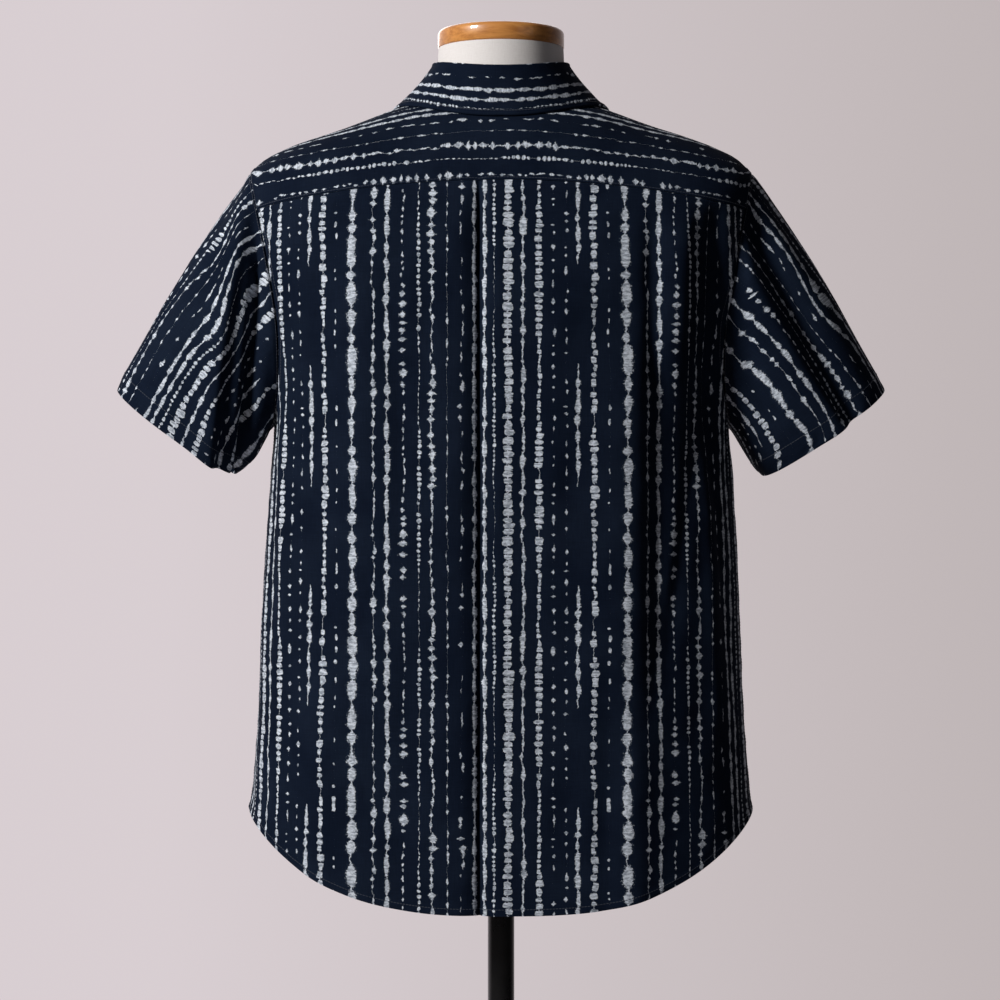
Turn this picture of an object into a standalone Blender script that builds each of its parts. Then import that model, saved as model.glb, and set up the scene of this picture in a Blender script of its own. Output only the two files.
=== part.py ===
"""Short-sleeved button-up shirt on a limbless dress form with a pole stand.

Metres, +Z up. The shirt's front faces -Y, the wearer's left is +X, and the stand's foot rests on z = 0.

Every cloth panel is a patch of one body surface. The surface is addressed by an angle round the body
(0 at the wearer's left side, 90 degrees at the back, 180 at the right side, -90 at the front) and by a
row number down the TORSO table. A panel's border runs along seams that its neighbours share, its outer
points are read from the surface, and its inner points lie one wall inside them.
"""

import math
from collections import namedtuple

import bmesh
import bpy
import numpy as np

# Cloth
WALL = 0.0015
SEAM_GAP = 0.0003
LAP_GAP = 0.0004
PART_GAP = 0.0003

# Rings of the body surface, from the neckline to below the hem
Ring = namedtuple("Ring", "side_x side_z back_y back_z front_y front_z power")
TORSO = (
    Ring(0.0700, 1.5310, 0.0660, 1.512, -0.0800, 1.452, 1.00),
    Ring(0.1050, 1.5205, 0.0850, 1.494, -0.0940, 1.434, 0.95),
    Ring(0.1520, 1.5025, 0.1020, 1.468, -0.1080, 1.408, 0.90),
    Ring(0.2060, 1.4840, 0.1165, 1.434, -0.1200, 1.376, 0.85),
    Ring(0.2375, 1.4660, 0.1245, 1.401, -0.1280, 1.345, 0.80),
    Ring(0.2475, 1.4400, 0.1290, 1.366, -0.1330, 1.312, 0.78),
    Ring(0.2420, 1.3760, 0.1315, 1.327, -0.1360, 1.275, 0.78),
    Ring(0.2295, 1.3020, 0.1305, 1.276, -0.1360, 1.235, 0.80),
    Ring(0.2215, 1.2250, 0.1270, 1.215, -0.1340, 1.190, 0.82),
    Ring(0.2248, 1.1650, 0.1235, 1.160, -0.1315, 1.150, 0.84),
    Ring(0.2298, 1.0950, 0.1190, 1.095, -0.1300, 1.090, 0.85),
    Ring(0.2337, 1.0100, 0.1170, 1.010, -0.1290, 1.010, 0.86),
    Ring(0.2365, 0.9350, 0.1165, 0.935, -0.1300, 0.935, 0.86),
    Ring(0.2420, 0.8650, 0.1180, 0.865, -0.1320, 0.865, 0.87),
    Ring(0.2480, 0.8150, 0.1205, 0.815, -0.1340, 0.815, 0.87),
    Ring(0.2530, 0.7350, 0.1230, 0.735, -0.1360, 0.735, 0.87),
)
LAST_ROW = len(TORSO) - 1

# Seams
YOKE_SEAM_Z = 1.4410
YOKE_SEAM_FALL = 0.42  # metres of drop for each square metre of x
SHOULDER_ROW = 4.40
UNDERARM_ROW = 8.15
FRONT_LEVEL_ROW = 9.1  # where the front edge is level with the underarm
ARMHOLE_BACK_DEG = 26.0
ARMHOLE_FRONT_DEG = 30.0
SHOULDER_SEAM_NECK_DEG = 25.0
SHOULDER_SEAM_ARM_DEG = 28.0  # round the armhole, forward of its top
YOKE_NECK_SHARE = 0.9  # of the yoke corner's angle, on the neckline
HEM_SIDE_Z = 0.838
HEM_DROP = 0.0875
HEM_CURVE = 3.0

# Soft folds of the body: a ridge has a positive height, a trough a negative one
Fold = namedtuple("Fold", "face x_high z_high x_low z_low width height")
BODY_FOLDS = (
    Fold(1, 0.0215, 1.46, 0.0215, 0.60, 0.0065, -0.0052),
    Fold(1, 0.0080, 1.44, 0.0060, 0.60, 0.0100, 0.0014),
    Fold(1, -0.1420, 1.42, -0.1440, 1.10, 0.0110, -0.0056),
    Fold(1, -0.1700, 1.43, -0.1660, 1.20, 0.0150, 0.0050),
    Fold(1, -0.2060, 1.42, -0.2000, 1.15, 0.0120, -0.0062),
    Fold(1, -0.1280, 1.28, -0.1300, 0.60, 0.0340, 0.0060),
    Fold(1, 0.1250, 1.40, 0.1380, 1.05, 0.0180, 0.0018),
    Fold(1, 0.1680, 1.42, 0.1740, 1.02, 0.0140, -0.0026),
    Fold(1, -0.0900, 1.10, -0.1020, 0.60, 0.0240, 0.0036),
    Fold(1, -0.1500, 1.12, -0.1680, 0.60, 0.0200, -0.0044),
    Fold(1, 0.0900, 1.05, 0.1020, 0.60, 0.0240, -0.0032),
    Fold(1, 0.1650, 1.00, 0.1800, 0.60, 0.0200, 0.0036),
    Fold(-1, 0.1000, 1.40, 0.0900, 1.00, 0.0180, 0.0034),
    Fold(-1, 0.1500, 1.36, 0.1500, 0.60, 0.0200, -0.0042),
    Fold(-1, -0.1050, 1.40, -0.0950, 0.60, 0.0200, 0.0034),
    Fold(-1, -0.1600, 1.34, -0.1550, 0.98, 0.0180, -0.0044),
    Fold(-1, 0.0600, 1.05, 0.0700, 0.60, 0.0220, -0.0030),
    Fold(-1, -0.1450, 1.00, -0.1650, 0.60, 0.0240, 0.0036),
)
FOLD_FADE = 0.07
FOLD_FACING = (0.12, 0.45)  # sines of the angle between which a fold sets in

# Sleeves: the mouth's top and bottom corners as they stand in front view
MOUTH_TOP = (0.3745, 1.2485)
MOUTH_LOW = (0.2570, 1.1640)
MOUTH_HALF_DEPTH = 0.0560
MOUTH_BACK_DIP = 0.0060
SLEEVE_TOP_BULGE = 0.0050
SLEEVE_SIDE_BULGE = 0.0060
SLEEVE_SEAM_LIP = 0.0020
SLEEVE_UNDER_KICK = 0.0060
SLEEVE_FOLD_RISE = 0.35
SLEEVE_FOLD_FALL = 0.30
SLEEVE_FOLD_FREE = 0.12  # share of the sleeve beside the seam where folds set in
SleeveFold = namedtuple("SleeveFold", "round_start round_end bow width height along_start along_end")
LEFT_SLEEVE_FOLDS = (
    SleeveFold(50, 128, 4, 14, 0.0075, -0.4, 1.5),
    SleeveFold(67, 168, 12, 13, -0.0085, -0.4, 1.1),
    SleeveFold(-70, -95, 0, 16, -0.0045, -0.1, 0.9),
)
RIGHT_SLEEVE_FOLDS = (
    SleeveFold(57, 72, 0, 12, -0.0080, -0.4, 1.1),
    SleeveFold(76, 80, 7, 15, 0.0065, -0.4, 1.5),
    SleeveFold(112, 122, 0, 13, -0.0046, -0.1, 0.8),
    SleeveFold(-75, -90, 0, 16, -0.0045, -0.1, 0.9),
)

# Front band and buttons
BAND_RIGHT_X = -0.0160
BAND_LEFT_X = 0.0180
RIGHT_FRONT_EDGE_X = 0.0140
LEFT_FRONT_EDGE_X = 0.0145
BUTTON_RADIUS = 0.00575
BUTTON_HEIGHT = 0.0024
BUTTON_LIFT = 0.0002
BUTTON_COUNT = 6
FIRST_BUTTON_Z = 1.392
BUTTON_PITCH = 0.0920
BUTTON_PROFILE = ((0.86, 0.0), (1.0, 0.35), (1.0, 0.7), (0.9, 1.0), (0.72, 1.0), (0.6, 0.72))
COLLAR_BUTTON_SHARE = 0.42  # of the stand's height, from its foot

# Collar
STAND_TOP = Ring(0.0662, 1.5635, 0.0690, 1.5530, -0.0745, 1.4840, 1.00)
STAND_END_X = -0.0120
STAND_END_DROP = 0.0060
STAND_FOOT_LIFT = 0.0024  # over the front band
STAND_GAP = 0.0008
STAND_LAP_DEG = (-80.0, -50.0)
STAND_LIFT_DEG = (-25.0, -12.0)
STAND_DROP_DEG = (-101.0, -93.0)
FALL_FRONT_X = 0.0130
FallEdge = namedtuple("FallEdge", "angle edge_angle edge_row")
FALL_EDGES = (
    FallEdge(-79.3, -64.0, 2.02),
    FallEdge(-66.0, -47.0, 1.66),
    FallEdge(-40.0, -24.0, 1.26),
    FallEdge(0.0, 4.0, 0.96),
    FallEdge(45.0, 46.0, 0.62),
    FallEdge(90.0, 90.0, 0.44),
)
FALL_EDGE_LIFT = 0.0006
FALL_BEND_SHARE = 0.55
FALL_BEND_DROP = 0.0040
FALL_BEND_IN = 0.0010
FALL_SHARES = (1.0, 0.85, 0.68, 0.5, 0.34, 0.18, 0.0)
OverStand = namedtuple("OverStand", "out up")
FALL_START = OverStand(LAP_GAP + WALL + 0.0004, -0.0010)
FALL_CROWN = (OverStand(0.0012, 0.0022), OverStand(-0.0004, 0.0024), OverStand(-WALL, 0.0012))
FALL_UNDER = (OverStand(0.0004, PART_GAP + 0.0001), OverStand(-0.0006, PART_GAP), OverStand(-WALL, PART_GAP))

# Dress form
REST_GAP = 0.0005
FormEase = namedtuple("FormEase", "side depth")
FORM_EASE = (
    FormEase(0.0000, 0.0010),
    FormEase(0.0004, 0.0020),
    FormEase(0.0006, 0.0040),
    FormEase(0.0010, 0.0070),
    FormEase(0.0050, 0.0090),
    FormEase(0.0120, 0.0110),
    FormEase(0.0170, 0.0120),
    FormEase(0.0190, 0.0130),
    FormEase(0.0180, 0.0150),
    FormEase(0.0320, 0.0190),
    FormEase(0.0520, 0.0230),
    FormEase(0.0580, 0.0250),
    FormEase(0.0480, 0.0210),
    FormEase(0.0400, 0.0170),
    FormEase(0.0400, 0.0170),
    FormEase(0.0400, 0.0170),
)
FORM_BOTTOM_Z = 0.860
FORM_EDGE = 0.010
FORM_EDGE_DRAW = 0.035  # of the bottom ring, drawn in below its rounded edge
NECK_TOP_Z = 1.5812
NECK = Ring(0.0612, NECK_TOP_Z, 0.0622, NECK_TOP_Z, -0.0655, NECK_TOP_Z, 1.00)
NECK_FOOT = Ring(0.0632, 1.5370, 0.0630, 1.5220, -0.0685, 1.4650, 1.00)
CAP_TOP_Z = 1.5990
CAP_OVERHANG = 0.0006
CAP_ROUND = 0.0045
CAP_EDGE = ((0.0, 1.0), (0.02, 0.4), (0.055, 0.1), (0.11, 0.0))  # draw of the outline, and share of the rounding
POLE_RADIUS = 0.0130
BASE_RADIUS = 0.1700
BASE_HEIGHT = 0.0080
BASE_BEVEL = 0.0025
HUB_HEIGHT = 0.0450
HUB_FOOT_HEIGHT = 0.0060
HUB_SLOPE_TOP = 0.0140
HUB_RADIUS = 0.0300
HUB_TOP_RADIUS = 0.0185
SOCKET_RADIUS = 0.0380
SOCKET_HEIGHT = 0.0070

# Mesh density: segments along each stretch of a border
SEGS_YOKE_ARM = 7
SEGS_BACK_ARM = 8
SEGS_FRONT_ARM = 9
SEGS_SIDE = 12
SEGS_BACK_HALF = 11
SEGS_SHOULDER = 6
SEGS_NECK_FRONT = 4
SEGS_SLEEVE = 8
SEGS_FORM_ROUND = 36
SEGS_FORM_DOWN = 24
SEGS_STAND_ENDS = (7, 5)
SEGS_FALL = 40
SEGS_TURNED = 32
SEGS_BASE = 64
SEGS_BUTTON = 20
PLEAT_CLEARANCE = 0.009  # share of the back kept free beside a pleat column
PLEAT_STEPS = (-0.013, -0.006, 0.0, 0.006, 0.013)

NAVY = (0.014, 0.022, 0.045)
LINEN = (0.80, 0.77, 0.73)
BEECH = (0.62, 0.32, 0.11)
BLACK_METAL = (0.012, 0.012, 0.013)
BUTTON_NAVY = (0.03, 0.035, 0.05)


def clear_scene():
    """Takes out whatever the file opened with."""
    for leftover in list(bpy.data.objects):
        bpy.data.objects.remove(leftover, do_unlink=True)


def finish(name, colour, roughness, metallic=0.0):
    """A plain Principled material."""
    material = bpy.data.materials.new(name)
    material.use_nodes = True
    shader = material.node_tree.nodes["Principled BSDF"]
    shader.inputs["Base Color"].default_value = (*colour, 1.0)
    shader.inputs["Roughness"].default_value = roughness
    shader.inputs["Metallic"].default_value = metallic
    return material


def column(rows, name):
    """One named column of a table, as an array."""
    return np.array([getattr(row, name) for row in rows])


def through(values, at):
    """Catmull-Rom curve through evenly spaced values, read at fractional positions."""
    at = np.clip(at, 0.0, len(values) - 1.0)
    start = np.minimum(at.astype(int), len(values) - 2)
    t = at - start
    padded = np.concatenate([[2 * values[0] - values[1]], values, [2 * values[-1] - values[-2]]])
    a, b, c, d = (padded[start + k] for k in range(4))
    return 0.5 * (2 * b + (c - a) * t + (2 * a - 5 * b + 4 * c - d) * t**2 + (3 * b - a - 3 * c + d) * t**3)


def ring_point(angle, side_x, side_z, back_y, back_z, front_y, front_z, power):
    """A point of a ring: a superellipse whose back, front and sides have depths and heights of their own."""
    cosine, sine = np.cos(angle), np.sin(angle)
    across = np.sign(cosine) * np.abs(cosine) ** power
    depth = np.abs(sine) ** power
    at_back = sine > 0
    share = sine**2
    y = depth * np.where(at_back, back_y, front_y)
    z = side_z + share * (np.where(at_back, back_z, front_z) - side_z)
    return np.stack([side_x * across, y, z], axis=-1)


def body_point(angle, row):
    """A point of the body surface, without folds."""
    angle, row = np.broadcast_arrays(np.asarray(angle, float), np.asarray(row, float))
    return ring_point(angle, *(through(column(TORSO, name), row) for name in Ring._fields))


def body_normal(angle, row):
    """The outward direction of the body surface."""
    step = 0.02
    round_way = body_point(angle + step, row) - body_point(angle - step, row)
    low = np.minimum(np.asarray(row, float) + step, LAST_ROW)
    high = np.maximum(np.asarray(row, float) - step, 0.0)
    down_way = body_point(angle, low) - body_point(angle, high)
    normal = np.cross(down_way, round_way)
    return normal / np.linalg.norm(normal, axis=-1, keepdims=True)


def smooth_step(low, high, value):
    """0 below low, 1 above high, and a smooth rise between."""
    t = np.clip((value - low) / (high - low), 0.0, 1.0)
    return t * t * (3 - 2 * t)


def fold_height(angle, row):
    """How far the folds push the cloth out. Each fold is a soft line down one face of the body."""
    place = body_point(angle, row)
    x, z = place[..., 0], place[..., 2]
    total = np.zeros_like(x)
    for fold in BODY_FOLDS:
        down = np.clip((fold.z_high - z) / (fold.z_high - fold.z_low), 0.0, 1.0)
        line = fold.x_high + (fold.x_low - fold.x_high) * down
        profile = np.exp(-(((x - line) / fold.width) ** 2))
        ends = smooth_step(fold.z_low - FOLD_FADE, fold.z_low + FOLD_FADE, z)
        ends = ends * (1 - smooth_step(fold.z_high - FOLD_FADE, fold.z_high, z))
        facing = smooth_step(*FOLD_FACING, fold.face * np.sin(angle))
        total += fold.height * profile * ends * facing
    return total


def cloth_point(places, lift=0.0):
    """Points of the cloth for (angle, row) places, lifted off the outer face."""
    angle, row = places[..., 0], places[..., 1]
    out = fold_height(angle, row) + lift
    return body_point(angle, row) + body_normal(angle, row) * out[..., None]


def row_at(angle, height_of):
    """The row where the surface comes down to height_of(point), for each angle."""
    rows = np.linspace(0.0, LAST_ROW, 1200)
    found = []
    for one in np.atleast_1d(angle):
        points = body_point(np.full_like(rows, one), rows)
        above = points[:, 2] - height_of(points)
        cross = int(np.argmax(above <= 0))
        share = above[cross - 1] / (above[cross - 1] - above[cross])
        found.append(rows[cross - 1] + share * (rows[cross] - rows[cross - 1]))
    return np.array(found)


def yoke_seam_height(points):
    """The yoke seam dips towards the armholes."""
    return YOKE_SEAM_Z - YOKE_SEAM_FALL * points[..., 0] ** 2


def hem_row(angle):
    """The row of the shirt-tail hem: highest at the side seams, and deepest at front and back."""
    angle = np.atleast_1d(angle)
    share = np.abs(np.cos(angle)) ** (column(TORSO, "power")[-1] * HEM_CURVE)
    found = [
        row_at(one, lambda points, drop=drop: HEM_SIDE_Z - HEM_DROP * drop)[0]
        for one, drop in zip(angle, 1 - share)
    ]
    return np.array(found)


def angle_at_x(x, row):
    """The angle on the body's front where the surface lies at x."""
    side = through(column(TORSO, "side_x"), row)
    power = through(column(TORSO, "power"), row)
    return -math.pi / 2 + np.sign(x) * np.arcsin((np.abs(x) / side) ** (1 / power))


def armhole(turn):
    """(angle, row) places round the left armhole: turn 0 at the shoulder, and positive over the back."""
    turn = np.asarray(turn, float)
    widest = np.where(np.sin(turn) > 0, math.radians(ARMHOLE_BACK_DEG), math.radians(ARMHOLE_FRONT_DEG))
    row = SHOULDER_ROW + (UNDERARM_ROW - SHOULDER_ROW) * (1 - np.cos(turn)) / 2
    return np.stack([widest * np.sin(turn), row], axis=-1)


def yoke_corner_turn():
    """Where the yoke seam meets the armhole, as a turn round it."""
    turns = np.linspace(0.3, 2.4, 1000)
    points = body_point(*np.moveaxis(armhole(turns), -1, 0))
    return turns[int(np.argmax(points[:, 2] < yoke_seam_height(points)))]


def mirrored(places):
    """The same places on the wearer's right."""
    return np.stack([math.pi - places[..., 0], places[..., 1]], axis=-1)


def line(start, end, segments):
    """Evenly spaced places on a straight line between two places."""
    return np.linspace(start, end, segments + 1)


def patch(top, low, left, right, reach=1.0):
    """Places inside four borders. top and low run left to right, left and right run down.

    The sides are joined straight across, and the bows of top and low are added to that. A higher reach
    keeps each bow nearer its own border.
    """
    s = np.linspace(0.0, 1.0, len(top))[None, :, None]
    t = np.linspace(0.0, 1.0, len(left))[:, None, None]
    across = (1 - s) * left[:, None] + s * right[:, None]
    top_bow = top[None] - (1 - s) * top[0] - s * top[-1]
    low_bow = low[None] - (1 - s) * low[0] - s * low[-1]
    return across + (1 - t) ** reach * top_bow + t**reach * low_bow


def trimmed(points):
    """Draws a panel's border in by half a seam gap."""
    points = points.copy()
    for _ in range(2):
        for edge, inside in ((0, 1), (-1, -2)):
            way = points[inside] - points[edge]
            points[edge] += way / np.linalg.norm(way, axis=-1, keepdims=True) * SEAM_GAP / 2
        points = points.swapaxes(0, 1)
    return points


def solid_object(name, vertices, faces, material, smooth_angle=40.0):
    """A closed mesh object with its faces turned outwards."""
    mesh = bpy.data.meshes.new(name)
    mesh.from_pydata([tuple(v) for v in vertices], [], faces)
    shape = bmesh.new()
    shape.from_mesh(mesh)
    bmesh.ops.recalc_face_normals(shape, faces=shape.faces)
    shape.to_mesh(mesh)
    shape.free()
    mesh.materials.append(material)
    mesh.shade_smooth()
    mesh.set_sharp_from_angle(angle=math.radians(smooth_angle))
    made = bpy.data.objects.new(name, mesh)
    bpy.context.scene.collection.objects.link(made)
    return made


def wall_object(name, outer, inner, material, ring=False):
    """A cloth wall between two grids of points. A ring's columns close on themselves."""
    rows, columns = outer.shape[:2]
    inside = rows * columns

    def at(i, j):
        return i * columns + j % columns

    spans = columns if ring else columns - 1
    faces = []
    for i in range(rows - 1):
        for j in range(spans):
            quad = (at(i, j), at(i, j + 1), at(i + 1, j + 1), at(i + 1, j))
            faces.append(quad)
            faces.append(tuple(inside + k for k in reversed(quad)))
    for j in range(spans):
        for i in (0, rows - 1):
            faces.append((at(i, j), at(i, j + 1), inside + at(i, j + 1), inside + at(i, j)))
    if not ring:
        for i in range(rows - 1):
            for j in (0, columns - 1):
                faces.append((at(i, j), at(i + 1, j), inside + at(i + 1, j), inside + at(i, j)))
    vertices = np.concatenate([outer.reshape(-1, 3), inner.reshape(-1, 3)])
    return solid_object(name, vertices, faces, material)


def loft_object(name, rings, material):
    """A solid through closed rings, with a flat face at each end."""
    count = len(rings[0])
    faces = [tuple(range(count)), tuple(range((len(rings) - 1) * count, len(rings) * count))]
    for i in range(len(rings) - 1):
        for j in range(count):
            k = (j + 1) % count
            faces.append((i * count + j, i * count + k, (i + 1) * count + k, (i + 1) * count + j))
    return solid_object(name, np.concatenate(rings), faces, material)


def turned_object(name, profile, material, segments):
    """A solid turned round the Z axis from (radius, height) points, closed on itself when it has a bore."""
    made = []
    for k in range(segments):
        a = 2 * math.pi * k / segments
        made.append([(r * math.cos(a), r * math.sin(a), z) for r, z in profile])
    count = len(profile)
    faces = []
    for k in range(segments):
        after = (k + 1) % segments
        for i in range(count):
            j = (i + 1) % count
            faces.append((k * count + i, after * count + i, after * count + j, k * count + j))
    return solid_object(name, np.array(made).reshape(-1, 3), faces, material, smooth_angle=30.0)


def disc_object(name, profile, material, segments):
    """A solid turned round the Z axis from (radius, height) points that run from its foot to its top face."""
    rings = []
    for r, z in profile:
        a = np.linspace(0, 2 * math.pi, segments, endpoint=False)
        rings.append(np.stack([r * np.cos(a), r * np.sin(a), np.full(segments, z)], axis=-1))
    return loft_object(name, rings, material)


def panel(name, places, material):
    """A cloth panel on the body surface."""
    return wall_object(name, trimmed(cloth_point(places)), trimmed(cloth_point(places, -WALL)), material)


class Seams:
    """The borders that the shirt's panels share."""

    def __init__(self):
        corner = yoke_corner_turn()
        shoulder = -math.radians(SHOULDER_SEAM_ARM_DEG)
        self.yoke_turns = np.linspace(shoulder, corner, SEGS_YOKE_ARM + 1)
        self.back_turns = np.linspace(corner, math.pi, SEGS_BACK_ARM + 1)
        self.front_turns = np.linspace(shoulder, -math.pi, SEGS_FRONT_ARM + 1)
        self.corner_angle = armhole(corner)[0]
        self.back_shares = self.back_columns()
        self.side = line((0.0, UNDERARM_ROW), (0.0, hem_row(0.0)[0]), SEGS_SIDE)
        neck = (-math.radians(SHOULDER_SEAM_NECK_DEG), 0.0)
        self.shoulder = line(armhole(shoulder), neck, SEGS_SHOULDER)
        upper = np.linspace(0.0, FRONT_LEVEL_ROW, SEGS_FRONT_ARM + 1)
        lower = np.linspace(FRONT_LEVEL_ROW, hem_row(-math.pi / 2)[0], SEGS_SIDE + 1)
        self.centre_rows = np.concatenate([upper[:-1], lower])

    def back_columns(self):
        """Shares of the way across the back, with more columns at the pleat."""
        shares = np.linspace(0.0, 1.0, 2 * SEGS_BACK_HALF + 1)
        pleat = BODY_FOLDS[0]
        side, power = TORSO[3].side_x, TORSO[3].power
        for step in PLEAT_STEPS:
            angle = math.acos(((pleat.x_high + step) / side) ** (1 / power))
            share = (angle - self.corner_angle) / (math.pi - 2 * self.corner_angle)
            shares = shares[np.abs(shares - share) > PLEAT_CLEARANCE]
            shares = np.sort(np.append(shares, share))
        return shares

    def yoke_seam(self):
        """The yoke's lower border and the back's top border, left to right of the wearer."""
        angle = self.corner_angle + (math.pi - 2 * self.corner_angle) * self.back_shares
        return np.stack([angle, row_at(angle, yoke_seam_height)], axis=-1)

    def sleeve_turns(self):
        """Turns round the whole armhole, at the panels' own points."""
        return np.concatenate([self.front_turns[:0:-1], self.yoke_turns[:-1], self.back_turns[:-1]])


def build_yoke(seams, material):
    """The yoke wraps the neck: a strip from one front shoulder seam, round the back, to the other."""
    arm = armhole(seams.yoke_turns)
    back = seams.yoke_seam()
    outer = np.concatenate([arm[:-1], back, mirrored(arm[:-1])[::-1]])
    start = -math.radians(SHOULDER_SEAM_NECK_DEG)
    turn_in = seams.corner_angle * YOKE_NECK_SHARE
    left = np.linspace(start, turn_in, len(arm))[:-1]
    middle = turn_in + (math.pi - 2 * turn_in) * seams.back_shares
    angles = np.concatenate([left, middle, math.pi - left[::-1]])
    inner = np.stack([angles, np.zeros_like(angles)], axis=-1)
    right = line(inner[-1], outer[-1], SEGS_SHOULDER)
    return panel("yoke", patch(inner, outer, line(inner[0], outer[0], SEGS_SHOULDER), right), material)


def build_back(seams, material):
    """The back hangs from the yoke seam to the hem, between the armholes and side seams."""
    left = np.concatenate([armhole(seams.back_turns)[:-1], seams.side])
    angle = math.pi * seams.back_shares
    hem = np.stack([angle, hem_row(angle)], axis=-1)
    return panel("back", patch(seams.yoke_seam(), hem, left, mirrored(left)), material)


def front_places(seams, edge_x, extra_x):
    """Places of the wearer's left front, up to the front band's edge, with more columns under the band."""
    angle = angle_at_x(edge_x, seams.centre_rows)
    edge = np.stack([angle, seams.centre_rows], axis=-1)
    neck = line(seams.shoulder[-1], edge[0], SEGS_NECK_FRONT)
    top = np.concatenate([seams.shoulder[:-1], neck])
    left = np.concatenate([armhole(seams.front_turns)[:-1], seams.side])
    shares = np.linspace(0.0, 1.0, len(top))
    hem_angle = shares * edge[-1, 0]
    low = np.stack([hem_angle, hem_row(hem_angle)], axis=-1)
    edge[-1] = low[-1]
    places = [patch(top, low, left, edge, reach=3.0)]
    for x in extra_x:
        places.append(np.stack([angle_at_x(x, edge[:, 1]), edge[:, 1]], axis=-1)[:, None])
    return np.concatenate(places, axis=1)


def build_fronts(seams, material):
    """Both fronts and the buttonhole band, which is made from their points, moved out."""
    left = front_places(seams, BAND_LEFT_X, (LEFT_FRONT_EDGE_X,))
    right = mirrored(front_places(seams, -BAND_RIGHT_X, (0.0, -RIGHT_FRONT_EDGE_X)))
    panel("front_left", left, material)
    panel("front_right", right, material)
    band = np.concatenate([right[:, -3:], left[:, -2:][:, ::-1]], axis=1)
    band[..., 0] = np.where(band[..., 0] > math.pi, band[..., 0] - 2 * math.pi, band[..., 0])
    band[..., 1] = left[:, -1:, 1]
    low, high = cloth_point(band, LAP_GAP), cloth_point(band, LAP_GAP + WALL)
    wall_object("front_band", trimmed(high), trimmed(low), material)
    return band


def sleeve_grid(seams, folds):
    """Outer points of the left sleeve, from the armhole to the mouth, and its ring of seam points."""
    turns = seams.sleeve_turns()
    places = armhole(turns)
    seam = cloth_point(places, LAP_GAP)
    top, low = np.array(MOUTH_TOP), np.array(MOUTH_LOW)
    up = (top - low) / np.linalg.norm(top - low)
    out = np.array([up[1], -up[0]])
    centre, half = (top + low) / 2, np.linalg.norm(top - low) / 2
    cosine, sine = np.cos(turns), np.sin(turns)
    dip = MOUTH_BACK_DIP * np.abs(sine)
    mouth = np.stack(
        [
            centre[0] + half * up[0] * cosine + out[0] * dip,
            MOUTH_HALF_DEPTH * sine,
            centre[1] + half * up[1] * cosine + out[1] * dip,
        ],
        axis=-1,
    )
    rings = []
    for share in np.linspace(0.0, 1.0, SEGS_SLEEVE + 1):
        swell = 4 * share * (1 - share)
        ring = seam + (mouth - seam) * share
        ring[:, 0] += swell * SLEEVE_TOP_BULGE * up[0] * cosine
        ring[:, 2] += swell * SLEEVE_TOP_BULGE * up[1] * cosine
        ring[:, 1] += swell * SLEEVE_SIDE_BULGE * sine
        kick = SLEEVE_UNDER_KICK * swell * (1 - share) * np.maximum(-cosine, 0.0)
        ring += body_normal(places[:, 0], places[:, 1]) * kick[:, None]
        rings.append(ring)
    grid = np.array(rings)
    normal = grid_normal(grid)
    share = np.linspace(0.0, 1.0, SEGS_SLEEVE + 1)[:, None]
    for fold in folds:
        bow = fold.bow * 4 * share * (1 - share)
        middle = np.radians(fold.round_start + (fold.round_end - fold.round_start) * share + bow)
        away = (turns[None, :] - middle + math.pi) % (2 * math.pi) - math.pi
        profile = np.exp(-((away / math.radians(fold.width)) ** 2))
        ends = smooth_step(fold.along_start, fold.along_start + SLEEVE_FOLD_RISE, share)
        ends = ends * (1 - smooth_step(fold.along_end - SLEEVE_FOLD_FALL, fold.along_end, share))
        ends = ends * smooth_step(0.0, SLEEVE_FOLD_FREE, share)
        grid += normal * (fold.height * profile * ends)[..., None]
    return grid, places


def grid_normal(grid):
    """Outward directions of a grid whose columns close on themselves."""
    down = np.gradient(grid, axis=0)
    round_way = np.roll(grid, -1, axis=1) - np.roll(grid, 1, axis=1)
    normal = np.cross(down, round_way)
    normal /= np.linalg.norm(normal, axis=-1, keepdims=True)
    away = grid - grid.mean(axis=1, keepdims=True)
    return normal * np.sign((normal * away).sum(axis=-1, keepdims=True))


def build_sleeve(name, seams, folds, side, material):
    """A sleeve whose cut end stands on the armhole's edge. side is 1 for the wearer's left, -1 for the right."""
    grid, places = sleeve_grid(seams, folds)
    inner = grid - grid_normal(grid) * WALL
    body = body_normal(places[:, 0], places[:, 1])
    inward = grid[0].mean(axis=0) - grid[0]
    inward -= (inward * body).sum(axis=-1, keepdims=True) * body
    inner[0] = grid[0] + inward / np.linalg.norm(inward, axis=-1, keepdims=True) * SLEEVE_SEAM_LIP
    mirror = np.array([side, 1.0, 1.0])
    return wall_object(name, grid * mirror, inner * mirror, material, ring=True)


def stand_profile(angle):
    """(foot, top) of the collar stand's outer face at angles round the neck, lapped at the front."""
    foot = body_point(angle, np.zeros_like(angle)) + body_normal(angle, np.zeros_like(angle)) * STAND_GAP
    top = ring_point(angle, *STAND_TOP)
    over = 1 - smooth_step(*np.radians(STAND_LAP_DEG), angle)
    front = smooth_step(*np.radians(STAND_LIFT_DEG), -np.abs(angle_from_front(angle)))
    away = np.stack([np.cos(angle), np.sin(angle), np.zeros_like(angle)], axis=-1)
    lap = (over * (WALL + LAP_GAP))[:, None] * away
    foot = foot + lap
    foot[:, 2] += STAND_FOOT_LIFT * front
    end_share = 1 - smooth_step(*np.radians(STAND_DROP_DEG), angle)
    top = top + lap
    top[:, 2] -= STAND_END_DROP * end_share
    return foot, top


def angle_from_front(angle):
    """The signed angle from the body's centre front."""
    return (angle + math.pi / 2 + math.pi) % (2 * math.pi) - math.pi


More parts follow.
